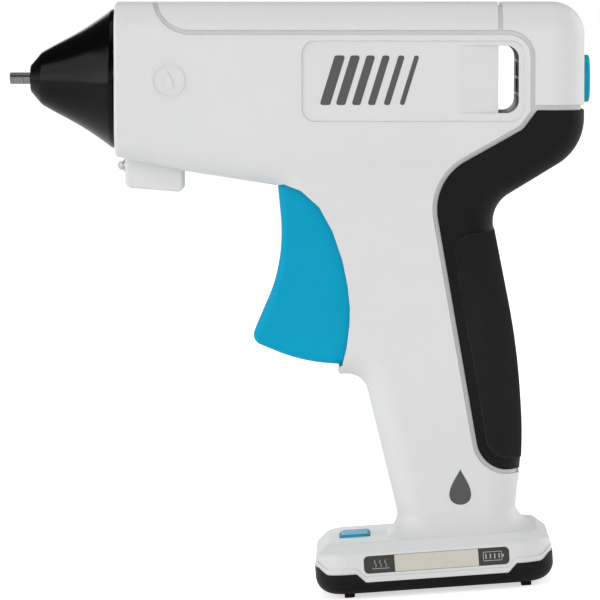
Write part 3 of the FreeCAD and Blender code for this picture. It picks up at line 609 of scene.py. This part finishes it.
def drop_outline(centre: Point, width: float, height: float, steps: int = 40) -> list[Point]:
    """Outline of a plain drop with its point upwards."""
    outline = []
    for step in range(steps):
        turn = 2 * math.pi * step / steps
        swell = math.sin(turn / 2) ** DROP_TAPER
        u = centre[0] + width * 0.5 * DROP_BULGE * math.sin(turn) * swell
        outline.append((u, centre[1] + height * 0.5 * math.cos(turn)))
    return outline


def soften(shape: bmesh.types.BMesh, angle: float = 35.0) -> None:
    """Smooth shading with hard edges above an angle, and outward normals."""
    bmesh.ops.recalc_face_normals(shape, faces=shape.faces)
    for face in shape.faces:
        face.smooth = True
    for edge in shape.edges:
        edge.smooth = len(edge.link_faces) == 2 and edge.calc_face_angle(0.0) < math.radians(angle)


def spun(profile: Sequence[Point], steps: int = 96) -> bmesh.types.BMesh:
    """Closed solid of revolution about the barrel axis.

    Args:
        profile: Closed profile as (x, radius) in barrel millimetres.
        steps: Divisions round the axis.

    Returns:
        The solid in the row frame.
    """
    shape = bmesh.new()
    verts = [shape.verts.new(BARREL.point(x, 0.0, radius)) for x, radius in profile]
    edges = [shape.edges.new((verts[i - 1], verts[i])) for i in range(len(verts))]
    axis = (BARREL.point(1, 0, 0) - BARREL.point(0, 0, 0)).normalized()
    bmesh.ops.spin(shape, geom=verts + edges, cent=BARREL.point(0, 0, 0), axis=axis, angle=2 * math.pi,
                   steps=steps, use_merge=True, use_duplicate=False)
    bmesh.ops.remove_doubles(shape, verts=shape.verts, dist=1e-7)
    return shape


class Surface:
    """The outside of some CAD nodes, for laying things on it."""

    def __init__(self, *nodes: str) -> None:
        """Gather the meshes of the nodes.

        Args:
            *nodes: Names of the CAD nodes.
        """
        points: list[Vector] = []
        faces: list[list[int]] = []
        for node in nodes:
            mesh = frame["nodes"][node].data
            first = len(points)
            points += [vertex.co.copy() for vertex in mesh.vertices]
            faces += [[first + index for index in polygon.vertices] for polygon in mesh.polygons]
        self.tree = BVHTree.FromPolygons(points, faces)

    def hit(self, start: Vector, aim: Vector) -> Optional[Vector]:
        """First point that a line from start towards aim meets, or None."""
        place, _, _, _ = self.tree.ray_cast(start, (aim - start).normalized())
        return place


@dataclass
class Piece:
    """A finished mesh piece and how it joins the frame.

    Attributes:
        name: Name of the piece.
        slot: Record slot that its finish belongs to.
        look: Key of its finish, where it differs from the slot.
        body: Body that it rides on.
        stands_for: CAD nodes that it replaces.
    """

    name: str
    slot: str
    look: Optional[str] = None
    body: str = "housing"
    stands_for: tuple[str, ...] = ()

    def make(self, shape: bmesh.types.BMesh) -> bpy.types.Object:
        """Turn a mesh into the finished piece.

        Args:
            shape: Mesh in the row frame, which is freed.

        Returns:
            The object.
        """
        mesh = bpy.data.meshes.new(self.name)
        shape.to_mesh(mesh)
        shape.free()
        mesh.materials.append(finish(self.look or self.slot))
        piece = bpy.data.objects.new(self.name, mesh)
        bpy.context.collection.objects.link(piece)
        if self.stands_for:
            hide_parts(*self.stands_for)
        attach(piece, self.body)
        log.info("%s: %d faces", self.name, len(mesh.polygons))
        return piece


class Side(Enum):
    """The two flanks, by the sign of Y."""

    LEFT = -1
    RIGHT = 1


@dataclass
class Relief:
    """Raised or printed shapes laid on a surface, seen square from one flank.

    Attributes:
        surface: Surface that it lies on.
        height: Height over the surface in millimetres.
        sink: Depth below the surface in millimetres.
        in_barrel: Whether its points are in the barrel frame.
        look_from: Distance from the middle plane that the surface is looked for from.
        shape: Mesh that the shapes are added to.
    """

    surface: Surface
    height: float = 0.06
    sink: float = 0.15
    in_barrel: bool = True
    look_from: float = 60.0
    shape: bmesh.types.BMesh = field(default_factory=bmesh.new)

    def _layers(self, outline: Sequence[Point], side: Side) -> tuple[list, list]:
        """Low and high rings of vertices over an outline."""
        low, high = [], []
        sign = side.value
        for u, v in outline:
            place = BARREL.point(u, 0, v) if self.in_barrel else Vector((u, 0, v)) * MM
            start = Vector((place.x, sign * self.look_from * MM, place.z))
            found = self.surface.hit(start, place)
            if found is None:
                raise ValueError(f"nothing under {u:.1f}, {v:.1f}")
            low.append(self.shape.verts.new(found - Vector((0, sign * self.sink * MM, 0))))
            high.append(self.shape.verts.new(found + Vector((0, sign * self.height * MM, 0))))
        return low, high

    def solid(self, outline: Sequence[Point], side: Side) -> None:
        """Add a filled shape."""
        low, high = self._layers(outline, side)
        count = len(outline)
        self.shape.faces.new(high)
        self.shape.faces.new(low[::-1])
        for i in range(count):
            j = (i + 1) % count
            self.shape.faces.new((low[i], low[j], high[j], high[i]))

    def ring(self, outer: Sequence[Point], inner: Sequence[Point], side: Side) -> None:
        """Add the band between two outlines of as many points."""
        low_out, high_out = self._layers(outer, side)
        low_in, high_in = self._layers(inner, side)
        count = len(outer)
        for i in range(count):
            j = (i + 1) % count
            self.shape.faces.new((high_out[i], high_out[j], high_in[j], high_in[i]))
            self.shape.faces.new((low_out[j], low_out[i], low_in[i], low_in[j]))
            self.shape.faces.new((low_out[i], low_out[j], high_out[j], high_out[i]))
            self.shape.faces.new((low_in[j], low_in[i], high_in[i], high_in[j]))

    def finish(self, piece: Piece) -> bpy.types.Object:
        """Make the piece from all the shapes added."""
        soften(self.shape, 30.0)
        return piece.make(self.shape)


# ---- nose --------------------------------------------------------------------------------------

@dataclass
class NoseCone:
    """Glossy heat-shielding cone with its spigot.

    Attributes:
        outside: Outer profile as (x, radius) in barrel millimetres.
        inside: Inner profile, from the rim to the tip.
        steps: Divisions round the axis.
    """

    outside: tuple[Point, ...] = (
        (-92.8, 4.45), (-92.62, 4.75), (-92.3, 5.15), (-89.3, 8.75), (-88.9, 9.1), (-88.3, 9.5),
        (-86.2, 10.7), (-83.5, 12.2), (-80.7, 13.65), (-78.0, 15.15), (-75.2, 16.75), (-72.5, 18.45),
        (-69.7, 20.35), (-67.2, 22.15), (-65.3, 23.55), (-64.9, 23.85), (-64.4, 24.0), (-63.5, 24.0))
    inside: tuple[Point, ...] = (
        (-63.5, 19.8), (-58.6, 19.8), (-58.6, 17.6), (-68.0, 17.6), (-74.0, 14.2), (-89.0, 6.2),
        (-90.6, 4.3), (-92.6, 4.3))
    steps: int = 144

    def build(self) -> None:
        """Make the cone."""
        shape = spun(self.outside + self.inside, self.steps)
        soften(shape, 28.0)
        Piece("nose_cone_shell", "nose_black", stands_for=("nose_cone",)).make(shape)


@dataclass
class WorkLight:
    """Bright bezel and bulb core of the work light in the pod.

    Attributes:
        axis_z: Height of its axis in barrel millimetres.
        bezel: Closed bezel profile as (x, radius from the light's own axis).
        core: Closed profile of the emitter cup inside the dome.
    """

    axis_z: float = -30.0
    bezel: tuple[Point, ...] = ((-60.6, 1.76), (-60.75, 1.95), (-60.7, 2.2), (-60.4, 2.4), (-59.9, 2.45),
                                (-59.9, 1.76))
    core: tuple[Point, ...] = ((-61.3, 0.2), (-61.3, 0.75), (-60.4, 1.1), (-59.0, 1.15), (-59.0, 0.2))

    def _turned(self, profile: Sequence[Point]) -> bmesh.types.BMesh:
        """Turned ring about the light's own axis."""
        shape = spun(profile, 40)
        drop = BARREL.point(0, 0, self.axis_z) - BARREL.point(0, 0, 0)
        bmesh.ops.translate(shape, vec=drop, verts=shape.verts)
        soften(shape)
        return shape

    def build(self) -> None:
        """Make bezel and core."""
        Piece("work_light_bezel", "bright_steel").make(self._turned(self.bezel))
        Piece("work_light_core", "bright_steel").make(self._turned(self.core))


# ---- flank markings ------------------------------------------------------------------------------

@dataclass
class PanelStripes:
    """Printed slanted stripes in the flank panel.

    Attributes:
        first: Barrel x of the first stripe's foot.
        pitch: Distance between stripes.
        widths: Width of each stripe.
        low: Lower end.
        high: Upper end.
        slant: Forward lean over the height.
    """

    first: float = 7.0
    pitch: float = 5.4
    widths: tuple[float, ...] = (3.6, 3.3, 3.0, 2.6, 2.2, 1.7)
    low: float = -8.6
    high: float = 8.2
    slant: float = 5.2

    def build(self, surface: Surface) -> None:
        """Print the stripes on both flanks."""
        for side in Side:
            relief = Relief(surface, height=0.05, sink=0.1)
            for index, width in enumerate(self.widths):
                x = self.first + index * self.pitch
                bar = [(x, self.low, 0.8), (x + width, self.low, 0.8),
                       (x + width + self.slant, self.high, 0.8), (x + self.slant, self.high, 0.8)]
                relief.solid(rounded_outline(bar), side)
            relief.finish(Piece(f"panel_stripes_{side.name.lower()}", "black_plastic", "printed_grey"))


@dataclass
class NeckDrop:
    """Printed glue-drop symbol low on the grip.

    Attributes:
        centre: Middle in barrel millimetres.
        width: Width of the drop.
        height: Height of the drop.
    """

    centre: Point = (55.2, -139.4)
    width: float = 8.2
    height: float = 12.4

    def build(self, surface: Surface) -> None:
        """Print the drop on both flanks."""
        for side in Side:
            relief = Relief(surface, height=0.05, sink=0.1)
            relief.solid(drop_outline(self.centre, self.width, self.height), side)
            relief.finish(Piece(f"neck_drop_{side.name.lower()}", "black_plastic", "printed_grey"))


@dataclass
class MouldedMark:
    """Raised ring round a small drop, moulded near the nose.

    Attributes:
        centre: Middle of the ring in barrel millimetres.
        radius: Outer radius of the ring.
        line: Width of the raised line.
        sides: Sides of the ring's outline.
        drop_width: Width of the drop.
        drop_height: Height of the drop.
    """

    centre: Point = (-44.3, -0.4)
    radius: float = 5.7
    line: float = 0.55
    sides: int = 56
    drop_width: float = 3.4
    drop_height: float = 5.8

    def _circle(self, radius: float) -> list[Point]:
        """Outline of a circle round the centre."""
        turns = [2 * math.pi * index / self.sides for index in range(self.sides)]
        u, v = self.centre
        return [(u + radius * math.cos(turn), v + radius * math.sin(turn)) for turn in turns]

    def build(self, surface: Surface) -> None:
        """Raise the mark on both flanks."""
        for side in Side:
            relief = Relief(surface, height=0.34, sink=0.2)
            relief.ring(self._circle(self.radius), self._circle(self.radius - self.line), side)
            relief.solid(drop_outline(self.centre, self.drop_width, self.drop_height, 24), side)
            relief.finish(Piece(f"moulded_mark_{side.name.lower()}", "white_shell", "crisp_white"))


# ---- grip texture ----------------------------------------------------------------------------------

@dataclass
class GripTexture:
    """Net of small diamond dimples round the back of the grip.

    Attributes:
        edge: Front border of the textured zone as (x, z) in barrel millimetres, from the top.
        pitch: Width and height of a dimple.
        lift: Height of the net over the rubber.
        depth: Depth of the dimples.
        wall: Share of a dimple's half-width that its wall takes.
        back_depth: Distance of the mapping axis from the back of the grip.
        narrowest: Share of the pitch below which a cut-off dimple is left out.
        root: How far the net's rim is let into the rubber.
        columns: Most half-pitches counted from the back to either side.
        scan_steps: Most steps of the scan round the grip.
        scan_turn: Angle of each step in degrees.
        scan_reach: Distance from which the scan looks at the grip.
        widest_step: Longest step between two found points.
    """

    edge: tuple[Point, ...] = (
        (66.8, -51.1), (58.2, -52.1), (54.1, -54.2), (53.3, -58.3), (55.1, -71.6), (56.9, -82.1),
        (59.4, -94.4), (61.8, -108.2), (63.2, -116.9), (64.6, -124.5), (67.4, -128.0), (70.8, -129.6),
        (75.1, -129.9))
    pitch: float = 0.86
    lift: float = 0.32
    depth: float = 0.29
    wall: float = 0.26
    back_depth: float = 15.0
    narrowest: float = 0.4
    root: float = 0.25
    columns: int = 90
    scan_steps: int = 60
    scan_turn: float = 2.2
    scan_reach: float = 60.0
    widest_step: float = 4.0

    def _front(self, z: float) -> float:
        """Front border's x at a height."""
        for (x0, z0), (x1, z1) in zip(self.edge, self.edge[1:]):
            if z1 <= z <= z0:
                return x0 + (x1 - x0) * (z0 - z) / (z0 - z1)
        return self.edge[-1][0]

    def _row(self, surface: Surface, z: float) -> tuple[list[float], list[Vector]]:
        """Lengths and points along one level of the grip, from the back to the flank.

        Args:
            surface: The rubber.
            z: Height of the level in barrel millimetres.

        Returns:
            Lengths from the back in millimetres and the points there, on the left side.
        """
        back = surface.hit(BARREL.point(130.0, -0.01, z), BARREL.point(0.0, -0.01, z))
        inverse = BARREL.matrix.inverted()
        centre_x = (inverse @ back).x / MM - self.back_depth
        lengths, points = [0.0], [back]
        for step in range(1, self.scan_steps + 1):
            turn = math.radians(self.scan_turn * step)
            start = BARREL.point(centre_x + self.scan_reach * math.cos(turn),
                                 -self.scan_reach * math.sin(turn), z)
            found = surface.hit(start, BARREL.point(centre_x, 0.0, z))
            if found is None or (found - points[-1]).length > self.widest_step * MM:
                break
            before_x, after_x = (inverse @ points[-1]).x / MM, (inverse @ found).x / MM
            reached = after_x < self._front(z)
            if reached:
                share = (before_x - self._front(z)) / max(before_x - after_x, 0.001)
                found = points[-1].lerp(found, min(max(share, 0.0), 1.0))
            lengths.append(lengths[-1] + (found - points[-1]).length / MM)
            points.append(found)
            if reached:
                break
        return lengths, points

    def _place(self, row: tuple[list[float], list[Vector]], length: float) -> Optional[Vector]:
        """Point at a signed length from the back, held at the border, or None well outside it."""
        lengths, points = row
        if abs(length) > lengths[-1] + self.pitch / 2:
            return None
        reach = min(abs(length), lengths[-1])
        index = max(i for i, value in enumerate(lengths) if value <= reach)
        following = min(index + 1, len(lengths) - 1)
        span = lengths[following] - lengths[index]
        share = (reach - lengths[index]) / span if span > 0 else 0.0
        place = points[index].lerp(points[following], share)
        return Vector((place.x, -place.y, place.z)) if length < 0 else place

    def build(self) -> None:
        """Lay the net on the rubber."""
        surface = Surface("grip_overmold")
        half = self.pitch / 2
        top, low = self.edge[0][1], self.edge[-1][1]
        levels = int((top - low) / half)
        shape = bmesh.new()
        grid: dict[tuple[int, int], bmesh.types.BMVert] = {}
        for level in range(levels + 1):
            row = self._row(surface, top - level * half)
            for column in range(-self.columns, self.columns + 1):
                if (column + level) % 2:
                    continue
                place = self._place(row, column * half)
                if place is not None:
                    grid[level, column] = shape.verts.new(place)
        cells = []
        for level, column in grid:
            keys = [(level, column), (level + 1, column + 1), (level + 2, column), (level + 1, column - 1)]
            if not all(key in grid for key in keys):
                continue
            corners = [grid[key] for key in keys]
            if (corners[1].co - corners[3].co).length > self.narrowest * self.pitch * MM:
                cells.append(shape.faces.new(corners))
        bmesh.ops.delete(shape, geom=[v for v in shape.verts if not v.link_faces], context="VERTS")
        bmesh.ops.recalc_face_normals(shape, faces=shape.faces)
        shape.normal_update()
        for vert in shape.verts:
            vert.co += vert.normal * self.lift * MM
        rim = [edge for edge in shape.edges if edge.is_boundary]
        skirt = bmesh.ops.extrude_edge_only(shape, edges=rim)["geom"]
        for vert in (item for item in skirt if isinstance(item, bmesh.types.BMVert)):
            vert.co -= vert.normal * (self.lift + self.root) * MM
        bmesh.ops.inset_individual(shape, faces=cells, thickness=self.wall * half * MM,
                                   depth=-self.depth * MM)
        for face in shape.faces:
            face.smooth = True
        # The net's lighter colour is painted sheen over the same rubber.
        Piece("grip_texture", "grip_rubber", "grip_net_sheen").make(shape)


# ---- foot --------------------------------------------------------------------------------------------

@dataclass
class StatusIcons:
    """Printed marks behind the two smoked windows of the indicator.

    Attributes:
        stroke: Width of the lines.
        corner: Radius of the frame's corners, on the middle of its line.
        height: Height of the print over the window.
        sink: Depth of the print below the window's face.
        wave_pitch: Spacing of the rising waves.
        wave_swing: Swing of a wave to either side.
        wave_rise: Rise of a wave for each of its steps.
        wave_steps: Steps of a wave from foot to tip.
        line_half: Half the length of the line under the waves.
        bar_pitch: Spacing of the cell's bars.
        bar: Half the width and height of a bar.
    """

    stroke: float = 0.2
    corner: float = 0.4
    height: float = 0.03
    sink: float = 0.04
    wave_pitch: float = 1.75
    wave_swing: float = 0.28
    wave_rise: float = 0.24
    wave_steps: int = 10
    line_half: float = 2.9
    bar_pitch: float = 1.5
    bar: tuple[float, float] = (0.22, 0.85)

    def _frame(self, relief: Relief, low: Vector, high: Vector) -> None:
        """Add a thin rounded frame."""
        rings = []
        for grow in (self.stroke / 2, -self.stroke / 2):
            rings.append(box_outline((low.x - grow, low.y - grow), (high.x + grow, high.y + grow),
                                     self.corner + grow, 4))
        relief.ring(rings[0], rings[1], Side.LEFT)

    def heat(self) -> None:
        """Three rising waves over a line."""
        low, high = (Vector(corner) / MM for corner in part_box("status_lens_heat"))
        relief = Relief(Surface("status_lens_heat"), self.height, self.sink, in_barrel=False)
        centre_x, base = (low.x + high.x) / 2 + 0.4, low.z + 1.45
        for index in range(3):
            x = centre_x + (index - 1) * self.wave_pitch
            wave = [(x + self.wave_swing * math.sin(step * math.pi / 5), base + 0.5 + step * self.wave_rise)
                    for step in range(self.wave_steps + 1)]
            relief.solid(ribbon_outline(wave, self.stroke), Side.LEFT)
        line = [(centre_x - self.line_half, base), (centre_x + self.line_half, base)]
        relief.solid(ribbon_outline(line, self.stroke), Side.LEFT)
        relief.finish(Piece("heat_icon", "cream_lens", "printed_cream"))

    def charge(self) -> None:
        """Cell outline with four bars."""
        low, high = (Vector(corner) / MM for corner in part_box("status_lens_charge"))
        relief = Relief(Surface("status_lens_charge"), self.height, self.sink, in_barrel=False)
        centre_x, centre_z = (low.x + high.x) / 2 - 0.3, (low.z + high.z) / 2 + 0.1
        self._frame(relief, Vector((centre_x - 3.3, centre_z - 1.5)),
                    Vector((centre_x + 3.0, centre_z + 1.5)))
        for index in range(4):
            x = centre_x - 2.4 + index * self.bar_pitch
            bar = box_outline((x - self.bar[0], centre_z - self.bar[1]),
                              (x + self.bar[0], centre_z + self.bar[1]), 0.1, 3)
            relief.solid(bar, Side.LEFT)
        cap = box_outline((centre_x + 3.25, centre_z - 0.5), (centre_x + 3.7, centre_z + 0.5), 0.15, 3)
        relief.solid(cap, Side.LEFT)
        relief.finish(Piece("charge_icon", "cream_lens", "printed_cream"))

    def build(self) -> None:
        """Make both icons."""
        self.heat()
        self.charge()


@dataclass
class WindowRibs:
    """Three small ribs down the rear wall of the black window liner, in a pale grey that is a painted
    highlight: it stands for small glints on that wall.

    Attributes:
        heights: Barrel z of each rib.
        wall_x: Barrel x of the liner's rear wall.
        reach: How far a rib stands off the wall.
        root: How far it is let into the wall.
        half_length: Half of its length across the tool.
    """

    heights: tuple[float, ...] = (6.1, 0.4, -5.3)
    wall_x: float = 74.5
    reach: float = 0.14
    root: float = 0.3
    half_length: float = 22.2

    def build(self) -> None:
        """Make the ribs."""
        shape = bmesh.new()
        for z in self.heights:
            root, face = self.wall_x + self.root, self.wall_x - self.reach
            section = rounded_outline([(root, z - 0.45, 0.0), (face, z - 0.35, 0.1),
                                       (face, z + 0.35, 0.1), (root, z + 0.45, 0.0)], 4)
            ends = [[shape.verts.new(BARREL.point(x, y, v)) for x, v in section]
                    for y in (-self.half_length, self.half_length)]
            shape.faces.new(ends[0])
            shape.faces.new(ends[1][::-1])
            for i in range(len(section)):
                j = (i + 1) % len(section)
                shape.faces.new((ends[0][i], ends[1][i], ends[1][j], ends[0][j]))
        soften(shape)
        # The ribs' pale grey is a painted highlight for glints on the black liner wall.
        Piece("window_ribs", "heat_plastic", "rib_painted_glint").make(shape)


# ---- studio --------------------------------------------------------------------------------------

@dataclass
class Studio:
    """Pale floor, soft lights and the camera.

    Attributes:
        focal: Camera lens in millimetres on a 36 mm sensor.
        eye: Camera position in barrel millimetres.
        aim: Point that the middle of the picture shows, in barrel millimetres.
        floor_size: Side of the floor in metres.
        overhead: Light from straight above.
        overhead_gloss: The same as glossy surfaces mirror it.
    """

    focal: float = 252.0
    eye: tuple[float, float, float] = (24.0, -1449.0, 27.0)
    aim: tuple[float, float, float] = (0.0, 0.0, -76.6)
    floor_size: float = 30.0
    overhead: Colour = (0.40, 0.41, 0.43)
    overhead_gloss: Colour = (0.04, 0.04, 0.045)

    def floor(self) -> None:
        """Lay the floor under the pads."""
        mesh = bpy.data.meshes.new("floor")
        shape = bmesh.new()
        bmesh.ops.create_grid(shape, x_segments=4, y_segments=4, size=self.floor_size / 2)
        shape.to_mesh(mesh)
        shape.free()
        mesh.materials.append(finish("stage_floor"))
        floor = bpy.data.objects.new("floor", mesh)
        bpy.context.collection.objects.link(floor)

    def lamp(self, name: str, place: tuple[float, float, float], aim: tuple[float, float, float],
             size: float, power: float) -> None:
        """Add one square softbox.

        Args:
            name: Name of the lamp.
            place: Its position in metres.
            aim: Point it faces in metres.
            size: Side in metres.
            power: Power in watts.
        """
        data = bpy.data.lights.new(name, "AREA")
        data.size = size
        data.energy = power
        lamp = bpy.data.objects.new(name, data)
        lamp.location = place
        lamp.rotation_euler = (Vector(aim) - Vector(place)).to_track_quat("-Z", "Y").to_euler()
        bpy.context.collection.objects.link(lamp)

    def sky(self) -> None:
        """White near the horizon and dimmer overhead."""
        world = bpy.data.worlds.new("studio")
        world.use_nodes = True
        tree = Tree(world.node_tree)
        background = world.node_tree.nodes["Background"]
        background.inputs["Strength"].default_value = 1.0
        coords = tree.add("ShaderNodeTexCoord")
        parts = tree.add("ShaderNodeSeparateXYZ")
        tree.link(coords.outputs["Generated"], parts.inputs[0])
        lift = tree.ramp(parts.outputs["Z"], 0.1, 0.85)
        spread = tree.mix(lift, (1.0, 1.0, 1.0), self.overhead)
        steep = tree.ramp(parts.outputs["Z"], 0.02, 0.34)
        mirrored = tree.mix(steep, (1.0, 1.0, 1.0), self.overhead_gloss)
        glossy = tree.add("ShaderNodeLightPath").outputs["Is Glossy Ray"]
        tree.link(tree.mix(glossy, spread, mirrored), background.inputs["Color"])
        bpy.context.scene.world = world

    def lights(self) -> None:
        """Soft studio light from both sides and above."""
        self.sky()
        middle = (0.0, 0.0, 0.11)
        self.lamp("left_box", (-1.5, -0.75, 0.75), middle, 1.3, 8.0)
        self.lamp("right_box", (1.5, 0.75, 0.75), middle, 1.3, 8.0)
        self.lamp("front_box", (0.35, -2.1, 0.7), middle, 0.9, 4.0)
        self.lamp("back_box", (-0.35, 2.1, 0.7), middle, 0.9, 4.0)
        self.lamp("top_sheet", (-0.1, 0.0, 1.7), middle, 1.1, 2.6)

    def camera(self) -> None:
        """Set the camera square to the barrel's left side."""
        data = bpy.data.cameras.new("camera")
        data.lens = self.focal
        data.sensor_width = 36.0
        data.clip_end = 50.0
        eye, aim = BARREL.point(*self.eye), BARREL.point(*self.aim)
        up = (BARREL.point(0, 0, 1) - BARREL.point(0, 0, 0)).normalized()
        back = (eye - aim).normalized()
        right = up.cross(back).normalized()
        up = back.cross(right)
        camera = bpy.data.objects.new("camera", data)
        turn = Matrix((right, up, back)).transposed().to_4x4()
        camera.matrix_world = Matrix.Translation(eye) @ turn
        bpy.context.collection.objects.link(camera)
        bpy.context.scene.camera = camera

    def build(self) -> None:
        """Set up the whole studio."""
        self.floor()
        self.lights()
        self.camera()
        bpy.context.scene.view_settings.view_transform = "Standard"


def main() -> None:
    """Build every piece in order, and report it."""
    logging.basicConfig(level=logging.INFO, format="%(name)s %(message)s")
    Studio().build()
    dress_frame()
    NoseCone().build()
    WorkLight().build()
    flanks = Surface("left_housing", "right_housing")
    PanelStripes().build(flanks)
    NeckDrop().build(flanks)
    MouldedMark().build(flanks)
    GripTexture().build()
    StatusIcons().build()
    WindowRibs().build()


if __name__ == "__main__":
    main()
